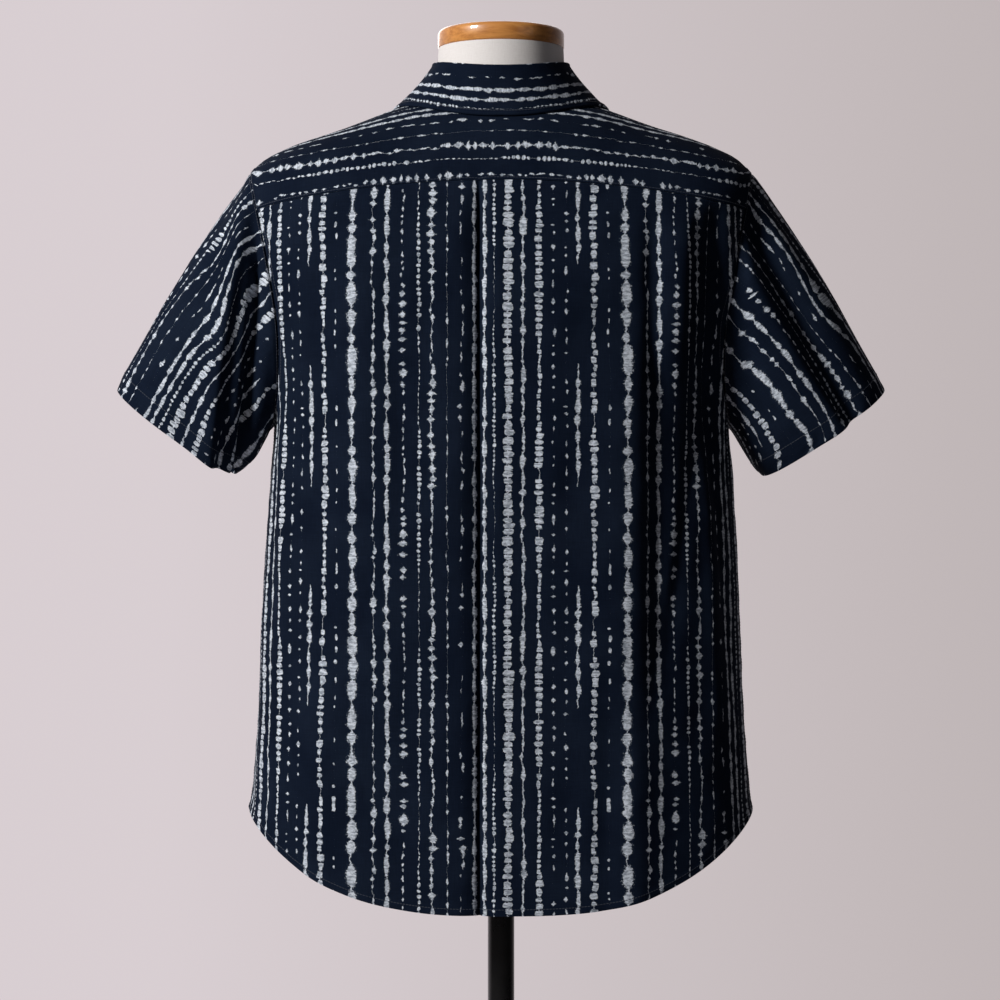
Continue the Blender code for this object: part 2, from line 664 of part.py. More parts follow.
def build_stand(material):
    """The collar stand: a band round the neck whose left end laps over its right end."""
    fall, _ = fall_stations()
    ends = ((STAND_END_X, FALL_FRONT_X), (-FALL_FRONT_X, RIGHT_FRONT_EDGE_X))
    left, right = (
        angle_at_x(np.linspace(*end, count), np.zeros(count)) for end, count in zip(ends, SEGS_STAND_ENDS)
    )
    right = right + 2 * math.pi
    angle = np.concatenate([left[:-1], fall, right[1:]])
    foot, top = stand_profile(angle)
    share = np.linspace(0.0, 1.0, 4)[:, None, None]
    outer = top[None] + (foot - top)[None] * share
    away = np.stack([np.cos(angle), np.sin(angle), np.zeros_like(angle)], axis=-1)
    return wall_object("collar_stand", outer, outer - away[None] * WALL, material)


def fall_stations():
    """Angles round the collar's fold, and the (angle, row) place of the fall's lower edge at each."""
    half = np.linspace(0.0, len(FALL_EDGES) - 1.0, SEGS_FALL // 2 + 1)
    fold, edge = (np.radians(through(column(FALL_EDGES, name), half)) for name in ("angle", "edge_angle"))
    row = through(column(FALL_EDGES, "edge_row"), half)
    angle = np.concatenate([fold, math.pi - fold[-2::-1]])
    edge = np.concatenate([edge, math.pi - edge[-2::-1]])
    return angle, np.stack([edge, np.concatenate([row, row[-2::-1]])], axis=-1)


def build_collar(material):
    """The collar's fall: it turns over the stand's top edge and drops to a spread edge on the yoke."""
    angle, places = fall_stations()
    _, top = stand_profile(angle)
    away = np.stack([np.cos(angle), np.sin(angle), np.zeros_like(angle)], axis=-1)
    up = np.array([0.0, 0.0, 1.0])

    def over_stand(offset):
        return top + away * offset.out + up * offset.up

    edge = cloth_point(places, LAP_GAP + WALL + FALL_EDGE_LIFT)
    start = over_stand(FALL_START)
    bend = start + (edge - start) * FALL_BEND_SHARE - up * FALL_BEND_DROP - away * FALL_BEND_IN
    outer = np.array([
        (1 - share) ** 2 * start + 2 * share * (1 - share) * bend + share**2 * edge for share in FALL_SHARES
    ])
    normal = np.cross(np.gradient(outer, axis=1), np.gradient(outer, axis=0))
    normal /= np.linalg.norm(normal, axis=-1, keepdims=True)
    normal *= np.sign((normal * (away + up)[None]).sum(axis=-1, keepdims=True))
    inner = outer - normal * WALL
    outer = np.concatenate([outer, np.array([over_stand(offset) for offset in FALL_CROWN])])
    inner = np.concatenate([inner, np.array([over_stand(offset) for offset in FALL_UNDER])])
    return wall_object("collar", outer, inner, material)


def build_button(name, centre, facing, material):
    """A round shirt button with a raised rim, standing on the cloth."""
    profile = [(BUTTON_RADIUS * out, BUTTON_HEIGHT * up) for out, up in BUTTON_PROFILE]
    made = disc_object(name, profile, material, segments=SEGS_BUTTON)
    made.location = centre
    made.rotation_mode = "QUATERNION"
    z_axis = np.array([0.0, 0.0, 1.0])
    turn = np.cross(z_axis, facing)
    angle = math.acos(float(facing @ z_axis))
    turn = turn / np.linalg.norm(turn) * math.sin(angle / 2)
    made.rotation_quaternion = (math.cos(angle / 2), *turn)
    return made


def build_buttons(material):
    """A row of buttons down the front band, and one on the collar stand."""
    front = -math.pi / 2
    lift = LAP_GAP + WALL + BUTTON_LIFT
    for k in range(BUTTON_COUNT):
        height = FIRST_BUTTON_Z - BUTTON_PITCH * k
        row = row_at(front, lambda points, height=height: height)
        place = np.array([[front, row[0]]])
        normal = body_normal(place[:, 0], place[:, 1])[0]
        build_button(f"button_{k + 1}", cloth_point(place, lift)[0], normal, material)
    foot, top = stand_profile(np.array([front]))
    slope = top[0] - foot[0]
    middle = foot[0] + slope * COLLAR_BUTTON_SHARE
    normal = np.array([0.0, -slope[2], slope[1]])
    normal /= np.linalg.norm(normal)
    build_button("button_collar", middle + normal * BUTTON_LIFT, normal, material)


def form_ring(row):
    """A ring of the dress form inside the shirt."""
    angle = np.linspace(0, 2 * math.pi, SEGS_FORM_ROUND, endpoint=False)
    rows = np.full_like(angle, row)
    ease = through(column(FORM_EASE, "side"), rows) * np.cos(angle) ** 2
    ease = ease + through(column(FORM_EASE, "depth"), rows) * np.sin(angle) ** 2
    inset = WALL + REST_GAP + ease
    return body_point(angle, rows) - body_normal(angle, rows) * inset[:, None]


def build_form(linen, wood, metal):
    """The covered torso with its neck, the wooden neck cap, and the pole stand."""
    angle = np.linspace(0, 2 * math.pi, SEGS_FORM_ROUND, endpoint=False)
    bottom_row = row_at(0.0, lambda points: FORM_BOTTOM_Z)[0]
    rings = [ring_point(angle, *NECK)]
    middle = Ring(*((np.array(NECK) + np.array(NECK_FOOT)) / 2))
    rings += [ring_point(angle, *middle), ring_point(angle, *NECK_FOOT)]
    rings += [form_ring(row) for row in np.linspace(0.0, bottom_row, SEGS_FORM_DOWN)]
    rings[-1][:, 2] = FORM_BOTTOM_Z
    foot_z = FORM_BOTTOM_Z - FORM_EDGE
    edge = rings[-1].copy()
    edge[:, :2] *= 1 - FORM_EDGE_DRAW
    edge[:, 2] = foot_z
    rings.append(edge)
    loft_object("form_body", rings, linen)

    cap = []
    size = 1 + CAP_OVERHANG / NECK.side_x
    edge_steps = [(size - draw, CAP_TOP_Z - CAP_ROUND * share) for draw, share in CAP_EDGE]
    for scale, z in ((size, NECK_TOP_Z + PART_GAP), *edge_steps):
        ring = ring_point(angle, *NECK)
        ring[:, :2] *= scale
        ring[:, 2] = z
        cap.append(ring)
    loft_object("neck_cap", cap, wood)

    bore = POLE_RADIUS + PART_GAP
    pole_top = foot_z - PART_GAP
    pole = ((POLE_RADIUS, BASE_HEIGHT + PART_GAP), (POLE_RADIUS, pole_top))
    disc_object("pole", pole, metal, segments=SEGS_TURNED)
    socket_low = pole_top - SOCKET_HEIGHT
    socket = ((bore, socket_low), (SOCKET_RADIUS, socket_low), (SOCKET_RADIUS, pole_top), (bore, pole_top))
    turned_object("form_socket", socket, metal, segments=SEGS_TURNED)
    base = (
        (BASE_RADIUS, 0.0),
        (BASE_RADIUS, BASE_HEIGHT - BASE_BEVEL),
        (BASE_RADIUS - BASE_BEVEL, BASE_HEIGHT),
    )
    disc_object("base_plate", base, metal, segments=SEGS_BASE)
    hub_low, hub_top = BASE_HEIGHT + PART_GAP, BASE_HEIGHT + HUB_HEIGHT
    profile = (
        (bore, hub_low),
        (HUB_RADIUS, hub_low),
        (HUB_RADIUS, hub_low + HUB_FOOT_HEIGHT),
        (HUB_TOP_RADIUS, hub_low + HUB_SLOPE_TOP),
        (HUB_TOP_RADIUS, hub_top),
        (bore, hub_top),
    )
    turned_object("base_hub", profile, metal, segments=SEGS_TURNED)


def main():
    clear_scene()
    cloth = finish("cloth", NAVY, 0.85)
    linen = finish("linen", LINEN, 0.9)
    wood = finish("wood", BEECH, 0.3)
    metal = finish("black_metal", BLACK_METAL, 0.35, 0.6)
    button = finish("button", BUTTON_NAVY, 0.3)
    seams = Seams()
    build_yoke(seams, cloth)
    build_back(seams, cloth)
    build_fronts(seams, cloth)
    build_sleeve("sleeve_left", seams, LEFT_SLEEVE_FOLDS, 1, cloth)
    build_sleeve("sleeve_right", seams, RIGHT_SLEEVE_FOLDS, -1, cloth)
    build_stand(cloth)
    build_collar(cloth)
    build_buttons(button)
    build_form(linen, wood, metal)


main()
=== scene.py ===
"""Visual model of a short-sleeved button-up shirt on a dress form.

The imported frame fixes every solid's place. Thin cloth shells are laid on the solids' own
surfaces, with their creases, hems, sewing and buttons, and a plain studio is set round them.
Metres, +Z up. The shirt's front faces -Y, its back +Y, and the wearer's left is +X.
"""

import logging
import math
from collections.abc import Callable, Sequence
from dataclasses import dataclass
from enum import Enum
from typing import Any, NamedTuple

import bmesh
import bpy
import numpy as np
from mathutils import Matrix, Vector


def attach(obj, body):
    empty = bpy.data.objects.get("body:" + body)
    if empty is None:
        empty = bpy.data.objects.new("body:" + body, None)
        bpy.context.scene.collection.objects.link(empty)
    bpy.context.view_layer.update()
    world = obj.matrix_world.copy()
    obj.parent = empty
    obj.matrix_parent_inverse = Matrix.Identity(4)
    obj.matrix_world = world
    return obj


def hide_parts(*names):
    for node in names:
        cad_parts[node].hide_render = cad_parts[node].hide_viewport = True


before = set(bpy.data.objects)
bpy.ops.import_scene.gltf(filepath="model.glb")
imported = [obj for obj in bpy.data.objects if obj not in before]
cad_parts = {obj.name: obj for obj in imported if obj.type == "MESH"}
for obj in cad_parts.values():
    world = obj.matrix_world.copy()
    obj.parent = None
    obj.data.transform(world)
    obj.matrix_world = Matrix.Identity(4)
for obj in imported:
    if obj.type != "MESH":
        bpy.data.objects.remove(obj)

LOG = logging.getLogger("shirt")
Array = np.ndarray
UV_NAME = "cloth"
SHARP_ANGLE = math.radians(55.0)

# Sizes shared with the solids
WALL = 0.0015
LAP_GAP = 0.0004
STAND_GAP = 0.0008
PART_GAP = 0.0003
YOKE_SEAM_Z = 1.4410
YOKE_SEAM_FALL = 0.42
SHOULDER_ROW = 4.40
UNDERARM_ROW = 8.15
FRONT_LEVEL_ROW = 9.1
ARMHOLE_BACK = math.radians(26.0)
ARMHOLE_FRONT = math.radians(30.0)
SHOULDER_NECK_ANGLE = -math.radians(25.0)
SHOULDER_ARM_TURN = -math.radians(28.0)
HEM_SIDE_Z = 0.838
HEM_DROP = 0.0875
HEM_CURVE = 3.0
BACK = math.pi / 2
FRONT = -math.pi / 2

# The cloth's own thickness, and how far inside each edge its stitches lie
CLOTH_THICKNESS = 0.0008
DOUBLED_THICKNESS = 0.0013
YOKE_STITCH = 0.0022
HEM_STITCH = 0.0062
SIDE_STITCH = 0.0066
EDGE_STITCH = 0.0050


class Ring(NamedTuple):
    """A level ring of the body: half-width, depths to back and front, and the height of each."""

    side_x: float
    side_z: float
    back_y: float
    back_z: float
    front_y: float
    front_z: float
    power: float


TORSO: tuple[Ring, ...] = (
    Ring(0.0700, 1.5310, 0.0660, 1.512, -0.0800, 1.452, 1.00),
    Ring(0.1050, 1.5205, 0.0850, 1.494, -0.0940, 1.434, 0.95),
    Ring(0.1520, 1.5025, 0.1020, 1.468, -0.1080, 1.408, 0.90),
    Ring(0.2060, 1.4840, 0.1165, 1.434, -0.1200, 1.376, 0.85),
    Ring(0.2375, 1.4660, 0.1245, 1.401, -0.1280, 1.345, 0.80),
    Ring(0.2475, 1.4400, 0.1290, 1.366, -0.1330, 1.312, 0.78),
    Ring(0.2420, 1.3760, 0.1315, 1.327, -0.1360, 1.275, 0.78),
    Ring(0.2295, 1.3020, 0.1305, 1.276, -0.1360, 1.235, 0.80),
    Ring(0.2215, 1.2250, 0.1270, 1.215, -0.1340, 1.190, 0.82),
    Ring(0.2248, 1.1650, 0.1235, 1.160, -0.1315, 1.150, 0.84),
    Ring(0.2298, 1.0950, 0.1190, 1.095, -0.1300, 1.090, 0.85),
    Ring(0.2337, 1.0100, 0.1170, 1.010, -0.1290, 1.010, 0.86),
    Ring(0.2365, 0.9350, 0.1165, 0.935, -0.1300, 0.935, 0.86),
    Ring(0.2420, 0.8650, 0.1180, 0.865, -0.1320, 0.865, 0.87),
    Ring(0.2480, 0.8150, 0.1205, 0.815, -0.1340, 0.815, 0.87),
    Ring(0.2530, 0.7350, 0.1230, 0.735, -0.1360, 0.735, 0.87),
)


class Fold(NamedTuple):
    """A soft line down one face of the body: a ridge where its height is positive, else a trough.

    face is 1 on the back and -1 on the front. left and right are the bell's widths towards +X
    and -X.
    """

    face: int
    x_high: float
    z_high: float
    x_low: float
    z_low: float
    left: float
    right: float
    height: float


FOLDS: tuple[Fold, ...] = (
    Fold(1, 0.0203, 1.46, 0.0203, 0.60, 0.0115, 0.0042, -0.0062),
    Fold(1, 0.0203, 1.47, 0.0203, 0.60, 0.0026, 0.0019, -0.0040),
    Fold(1, 0.0136, 1.46, 0.0136, 0.60, 0.0018, 0.0018, -0.0022),
    Fold(1, 0.0060, 1.44, 0.0050, 0.60, 0.0060, 0.0110, 0.0014),
    Fold(1, -0.1420, 1.43, -0.1440, 0.98, 0.0085, 0.0120, -0.0048),
    Fold(1, -0.1700, 1.43, -0.1670, 1.23, 0.0150, 0.0120, 0.0044),
    Fold(1, -0.1860, 1.44, -0.1850, 1.31, 0.0060, 0.0070, -0.0032),
    Fold(1, -0.2060, 1.44, -0.2000, 1.19, 0.0120, 0.0085, -0.0086),
    Fold(1, -0.2230, 1.40, -0.2150, 1.29, 0.0080, 0.0120, 0.0046),
    Fold(1, -0.1220, 1.31, -0.1240, 0.60, 0.0400, 0.0240, 0.0084),
    Fold(1, -0.1880, 1.25, -0.1580, 0.99, 0.0060, 0.0085, -0.0030),
    Fold(1, -0.1930, 1.25, -0.2060, 0.93, 0.0070, 0.0085, 0.0030),
    Fold(1, -0.1980, 1.22, -0.2260, 0.95, 0.0065, 0.0080, -0.0028),
    Fold(1, -0.1000, 1.03, -0.0980, 0.60, 0.0100, 0.0150, -0.0030),
    Fold(1, 0.0965, 1.29, 0.0930, 1.14, 0.0090, 0.0150, -0.0040),
    Fold(1, 0.1250, 1.40, 0.1380, 1.05, 0.0180, 0.0180, 0.0018),
    Fold(1, 0.1680, 1.42, 0.1740, 1.02, 0.0140, 0.0120, -0.0028),
    Fold(1, 0.2130, 1.25, 0.2080, 1.03, 0.0060, 0.0075, 0.0032),
    Fold(1, 0.0900, 1.05, 0.1020, 0.60, 0.0240, 0.0260, -0.0036),
    Fold(1, 0.1650, 1.00, 0.1800, 0.60, 0.0200, 0.0200, 0.0036),
    Fold(1, -0.0450, 1.36, -0.0480, 0.98, 0.0120, 0.0150, 0.0016),
    Fold(1, 0.0720, 1.38, 0.0680, 1.12, 0.0140, 0.0110, -0.0016),
    Fold(-1, 0.1000, 1.40, 0.0900, 1.00, 0.0180, 0.0180, 0.0034),
    Fold(-1, 0.1500, 1.36, 0.1500, 0.60, 0.0180, 0.0210, -0.0046),
    Fold(-1, -0.1050, 1.40, -0.0950, 0.60, 0.0210, 0.0190, 0.0034),
    Fold(-1, -0.1600, 1.34, -0.1550, 0.98, 0.0190, 0.0170, -0.0047),
    Fold(-1, 0.0600, 1.05, 0.0700, 0.60, 0.0200, 0.0230, -0.0030),
    Fold(-1, -0.1450, 1.00, -0.1650, 0.60, 0.0240, 0.0240, 0.0036),
    Fold(-1, -0.0480, 1.30, -0.0560, 0.90, 0.0120, 0.0150, -0.0014),
    Fold(-1, 0.1850, 1.32, 0.1780, 1.08, 0.0100, 0.0120, 0.0020),
)
FOLD_FADE = 0.07
FOLD_FACING = (0.12, 0.45)
LATTICE = 64


def through(values: Array, at: Array) -> Array:
    """Catmull-Rom curve through evenly spaced values.

    Args:
        values: the values, one for each whole number along the first axis.
        at: fractional places along that axis.

    Returns:
        The curve's values, shaped like at and then like one value.
    """
    at = np.clip(np.asarray(at, float), 0.0, len(values) - 1.0)
    start = np.minimum(at.astype(int), len(values) - 2)
    share = (at - start).reshape(at.shape + (1,) * (values.ndim - 1))
    ends = (2 * values[:1] - values[1:2], values, 2 * values[-1:] - values[-2:-1])
    a, b, c, d = (np.concatenate(ends)[start + k] for k in range(4))
    bend = (2 * a - 5 * b + 4 * c - d) * share**2 + (3 * b - a - 3 * c + d) * share**3
    return 0.5 * (2 * b + (c - a) * share + bend)


def rise(low: float, high: float, value: Array) -> Array:
    """0 below low, 1 above high, and 3t^2 - 2t^3 between."""
    t = np.clip((value - low) / (high - low), 0.0, 1.0)
    return t * t * (3 - 2 * t)


def bump(value: Array, width: float | Array) -> Array:
    """A bell: e to the minus (value / width) squared."""
    return np.exp(-((value / width) ** 2))


def full_turn(count: int) -> Array:
    """Angles right round, from 0."""
    return np.linspace(0, 2 * math.pi, count, endpoint=False)


def level(height: float) -> Callable[[Array], Array]:
    """A height that is the same at every point."""
    return lambda points: np.full(points.shape[:-1], height)


def unit(vectors: Array) -> Array:
    """The same directions, one long."""
    return vectors / np.linalg.norm(vectors, axis=-1, keepdims=True)


def soft_noise(u: Array, v: Array, cell_u: float, cell_v: float, seed: int) -> Array:
    """Smooth noise from -1 to 1.

    It eases between seeded random heights on a u, v lattice.

    Args:
        u, v: coordinates in metres.
        cell_u, cell_v: the lattice's spacing.
        seed: chooses the heights.

    Returns:
        The noise at each place.
    """
    heights = np.random.default_rng(seed).uniform(-1.0, 1.0, (LATTICE, LATTICE))
    a, b = u / cell_u, v / cell_v
    a0, b0 = np.floor(a).astype(int), np.floor(b).astype(int)
    fa, fb = a - a0, b - b0
    ease_a, ease_b = fa * fa * (3 - 2 * fa), fb * fb * (3 - 2 * fb)
    corner = [[heights[(a0 + i) % LATTICE, (b0 + j) % LATTICE] for j in (0, 1)] for i in (0, 1)]
    low = corner[0][0] * (1 - ease_a) + corner[1][0] * ease_a
    high = corner[0][1] * (1 - ease_a) + corner[1][1] * ease_a
    return low * (1 - ease_b) + high * ease_b


def steps_along(grid: Array, axis: int) -> Array:
    """Arc length from the first point, along one axis of a grid of points."""
    lengths = np.linalg.norm(np.diff(grid, axis=axis), axis=-1)
    pad = [(0, 0), (0, 0)]
    pad[axis] = (1, 0)
    return np.pad(np.cumsum(lengths, axis=axis), pad)


def ring_point(angle: Array, ring: Sequence[Array | float]) -> Array:
    """A superellipse: x is side times cos^power and y is back or front times sin^power.

    z goes from the side's height to the back's or front's with sin squared.
    """
    side_x, side_z, back_y, back_z, front_y, front_z, power = ring
    cosine, sine = np.cos(angle), np.sin(angle)
    x = side_x * np.sign(cosine) * np.abs(cosine) ** power
    y = np.abs(sine) ** power * np.where(sine > 0, back_y, front_y)
    z = side_z + sine**2 * (np.where(sine > 0, back_z, front_z) - side_z)
    return np.stack(np.broadcast_arrays(x, y, z), axis=-1)


@dataclass(frozen=True)
class BodySurface:
    """The surface that every body panel lies on, by an angle round the body and a table row."""

    rings: tuple[Ring, ...] = TORSO
    folds: tuple[Fold, ...] = FOLDS

    @property
    def last(self) -> float:
        """The last row."""
        return len(self.rings) - 1.0

    def point(self, places: Array) -> Array:
        """Points without folds. A ring's numbers are curves down the table."""
        table = np.array(self.rings)
        numbers = through(table, places[..., 1])
        return ring_point(places[..., 0], np.moveaxis(numbers, -1, 0))

    def normal(self, places: Array) -> Array:
        """Outward directions: the cross product of a small step down and a small step round."""
        step = 0.02
        turn, down = np.array([step, 0.0]), np.array([0.0, step])
        round_way = self.point(places + turn) - self.point(places - turn)
        low, high = places + down, places - down
        low[..., 1] = np.minimum(low[..., 1], self.last)
        high[..., 1] = np.maximum(high[..., 1], 0.0)
        return unit(np.cross(self.point(low) - self.point(high), round_way))

    def fold_height(self, places: Array) -> Array:
        """The folds' height: a bell across each line, faded at its ends and off its face."""
        x, _, z = np.moveaxis(self.point(places), -1, 0)
        sine = np.sin(places[..., 0])
        total = np.zeros_like(x)
        for fold in self.folds:
            down = np.clip((fold.z_high - z) / (fold.z_high - fold.z_low), 0.0, 1.0)
            off = x - fold.x_high - (fold.x_low - fold.x_high) * down
            across = np.where(off > 0, bump(off, fold.left), bump(off, fold.right))
            ends = rise(fold.z_low - FOLD_FADE, fold.z_low + FOLD_FADE, z)
            ends = ends * (1 - rise(fold.z_high - FOLD_FADE, fold.z_high, z))
            total += fold.height * across * ends * rise(*FOLD_FACING, fold.face * sine)
        return total

    def cloth(self, places: Array, lift: Array | float = 0.0) -> Array:
        """Points of the cloth's outer face, lifted along the surface's normal."""
        height = self.fold_height(places) + lift
        return self.point(places) + self.normal(places) * height[..., None]

    def row_at(self, angle: Array, height_of: Callable[[Array], Array]) -> Array:
        """The row where the surface comes down to a height, for each angle."""
        rows = np.linspace(0.0, self.last, 900)
        places = np.stack(np.broadcast_arrays(angle[:, None], rows[None]), axis=-1)
        points = self.point(places)
        above = points[..., 2] - height_of(points)
        cross = np.argmax(above <= 0, axis=1)
        line = np.arange(len(angle))
        before, after = above[line, cross - 1], above[line, cross]
        return rows[cross - 1] + before / (before - after) * (rows[cross] - rows[cross - 1])

    def angle_at_x(self, x: float, row: Array) -> Array:
        """The angle on the front where the surface lies at x: the superellipse turned round."""
        table = through(np.array(self.rings), row)
        share = (abs(x) / table[..., 0]) ** (1 / table[..., 6])
        return FRONT + math.copysign(1.0, x) * np.arcsin(share)


BODY = BodySurface()


@dataclass(frozen=True)
class Seams:
    """The lines that neighbouring panels share, as (angle, row) places on the body."""

    body: BodySurface = BODY

    def armhole(self, turn: Array) -> Array:
        """The left armhole. Turn 0 is at the shoulder, and more is over the back.

        The angle follows the turn's sine and the row its cosine.
        """
        widest = np.where(np.sin(turn) > 0, ARMHOLE_BACK, ARMHOLE_FRONT)
        row = SHOULDER_ROW + (UNDERARM_ROW - SHOULDER_ROW) * (1 - np.cos(turn)) / 2
        return np.stack([widest * np.sin(turn), row], axis=-1)

    def yoke_height(self, points: Array) -> Array:
        """The yoke seam's height falls with the square of x."""
        return YOKE_SEAM_Z - YOKE_SEAM_FALL * points[..., 0] ** 2

    def corner_turn(self) -> float:
        """Where the yoke seam meets the armhole."""
        turns = np.linspace(0.3, 2.4, 1000)
        points = self.body.point(self.armhole(turns))
        return float(turns[np.argmax(points[:, 2] < self.yoke_height(points))])

    def yoke(self, share: Array) -> Array:
        """The yoke seam, from the wearer's left to the right."""
        corner = self.armhole(np.array(self.corner_turn()))[0]
        angle = corner + (math.pi - 2 * corner) * share
        return np.stack([angle, self.body.row_at(angle, self.yoke_height)], axis=-1)

    def border(self, start: float, end: float, share: float, t: Array) -> Array:
        """A panel's outer border: down the armhole, then the side seam.

        Args:
            start, end: the armhole's turns at its top and at the underarm.
            share: how much of the border is armhole.
            t: shares down the border.

        Returns:
            (angle, row) places.
        """
        arm = self.armhole(start + (end - start) * np.clip(t / share, 0.0, 1.0))
        side = self.side(np.clip((t - share) / (1 - share), 0.0, 1.0))
        return np.where((t < share)[:, None], arm, side)

    def hem(self, angle: Array) -> Array:
        """The shirt-tail hem: it drops from the side seams by one less a power of the cosine."""
        drop = 1 - np.abs(np.cos(angle)) ** (TORSO[-1].power * HEM_CURVE)
        height = HEM_SIDE_Z - HEM_DROP * drop
        return np.stack([angle, self.body.row_at(angle, lambda points: height[:, None])], axis=-1)

    def side(self, share: Array) -> Array:
        """The left side seam, from the underarm to the hem."""
        foot = self.hem(np.zeros(1))[0, 1]
        row = UNDERARM_ROW + (foot - UNDERARM_ROW) * share
        return np.stack([np.zeros_like(share), row], axis=-1)

    def shoulder(self, share: Array) -> Array:
        """The left front shoulder seam, from the armhole to the neck."""
        start = self.armhole(np.array(SHOULDER_ARM_TURN))
        return start + (np.array([SHOULDER_NECK_ANGLE, 0.0]) - start) * share[..., None]


def mirrored(places: Array) -> Array:
    """The same places on the wearer's right."""
    return np.stack([math.pi - places[..., 0], places[..., 1]], axis=-1)


def patch(
    top: Array,
    low: Array,
    left: Array,
    right: Array,
    s: Array,
    t: Array,
    reach: float = 1.0,
) -> Array:
    """Places inside four borders: the sides joined straight across, plus the bows of top and low.

    Args:
        top, low: places along the top and lower borders, one for each s.
        left, right: places down the sides, one for each t.
        s, t: shares across and down, from 0 to 1.
        reach: a higher reach keeps the bows nearer their own borders.

    Returns:
        A grid of places, t down and s across.
    """
    s, t = s[None, :, None], t[:, None, None]
    across = (1 - s) * left[:, None] + s * right[:, None]
    top_bow = top[None] - (1 - s) * top[0] - s * top[-1]
    low_bow = low[None] - (1 - s) * low[0] - s * low[-1]
    return across + (1 - t) ** reach * top_bow + t**reach * low_bow


LIPS = (0.0008, 0.0020, 0.0034, 0.0050, 0.0066, 0.0082, 0.0104)
CLOSE_REACH = 0.0150
CLOSE_LINES = 49


def shares(
    length: float,
    pitch: float,
    first: bool = True,
    last: bool = True,
    at: float | None = None,
) -> Array:
    """Shares from 0 to 1 about a pitch apart, closer beside the borders and round one place.

    Args:
        length: the stretch's length in metres.
        pitch: the usual distance between lines.
        first, last: whether there are close lines beside that end.
        at: a share with close lines to each side, if there is one.

    Returns:
        The shares, in order.
    """
    even = np.linspace(0.0, 1.0, max(3, round(length / pitch)))
    lips = np.array(LIPS) / length
    extra = [lips] if first else []
    if last:
        extra.append(1 - lips)
    if first:
        even = even[(even == 0) | (even > lips[-1] + 0.4 * pitch / length)]
    if last:
        even = even[(even == 1) | (even < 1 - lips[-1] - 0.4 * pitch / length)]
    if at is not None:
        near = CLOSE_REACH / length
        even = even[np.abs(even - at) > near]
        extra.append(np.linspace(at - near, at + near, CLOSE_LINES))
    return np.sort(np.concatenate([even, *extra]))


# Shader maths


class Signal:
    """One value on its way through a material's nodes, with the usual operators."""

    def __init__(self, loom: "Loom", socket: bpy.types.NodeSocket) -> None:
        """Keeps the loom that it belongs to and the socket that gives it."""
        self.loom = loom
        self.socket = socket

    def other(self, name: str) -> "Signal":
        """Another output of the same node."""
        return Signal(self.loom, self.socket.node.outputs[name])

    def _math(self, operation: str, *values: Any) -> "Signal":
        """A Math node on the given values."""
        return self.loom.add("ShaderNodeMath", {"operation": operation}, dict(enumerate(values)))

    def __add__(self, value: Any) -> "Signal":
        """self + value."""
        return self._math("ADD", self, value)

    def __radd__(self, value: Any) -> "Signal":
        """value + self."""
        return self._math("ADD", value, self)

    def __sub__(self, value: Any) -> "Signal":
        """self - value."""
        return self._math("SUBTRACT", self, value)

    def __rsub__(self, value: Any) -> "Signal":
        """value - self."""
        return self._math("SUBTRACT", value, self)

    def __mul__(self, value: Any) -> "Signal":
        """self * value."""
        return self._math("MULTIPLY", self, value)

    def __rmul__(self, value: Any) -> "Signal":
        """value * self."""
        return self._math("MULTIPLY", value, self)

    def __truediv__(self, value: Any) -> "Signal":
        """self / value."""
        return self._math("DIVIDE", self, value)

    def __rtruediv__(self, value: Any) -> "Signal":
        """value / self."""
        return self._math("DIVIDE", value, self)

    def __pow__(self, value: Any) -> "Signal":
        """self ** value."""
        return self._math("POWER", self, value)

    def __rpow__(self, value: Any) -> "Signal":
        """value ** self."""
        return self._math("POWER", value, self)

    def __mod__(self, value: Any) -> "Signal":
        """self % value, never negative."""
        return self._math("FLOORED_MODULO", self, value)

    def __abs__(self) -> "Signal":
        """abs(self)."""
        return self._math("ABSOLUTE", self)

    def __lt__(self, value: Any) -> "Signal":
        """1 where self is less."""
        return self._math("LESS_THAN", self, value)

    def floor(self) -> "Signal":
        """The whole number below."""
        return self._math("FLOOR", self)

    def sin(self) -> "Signal":
        """The sine."""
        return self._math("SINE", self)

    def cos(self) -> "Signal":
        """The cosine."""
        return self._math("COSINE", self)

    def least(self, value: Any) -> "Signal":
        """The smaller of the two."""
        return self._math("MINIMUM", self, value)

    def ramped(self, low: Any, high: Any) -> "Signal":
        """0 at low and 1 at high, clamped and eased."""
        settings = {"interpolation_type": "SMOOTHSTEP"}
        inputs = {"Value": self, "From Min": low, "From Max": high}
        return self.loom.add("ShaderNodeMapRange", settings, inputs)


def fill_ramp(ramp: bpy.types.ColorRamp, stops: Sequence[tuple[float, Sequence[float]]]) -> None:
    """Gives a colour ramp its stops, each a place and a colour of four."""
    while len(ramp.elements) > 1:
        ramp.elements.remove(ramp.elements[-1])
    for index, (place, colour) in enumerate(stops):
        element = ramp.elements[0] if index == 0 else ramp.elements.new(place)
        element.position = place
        element.color = colour


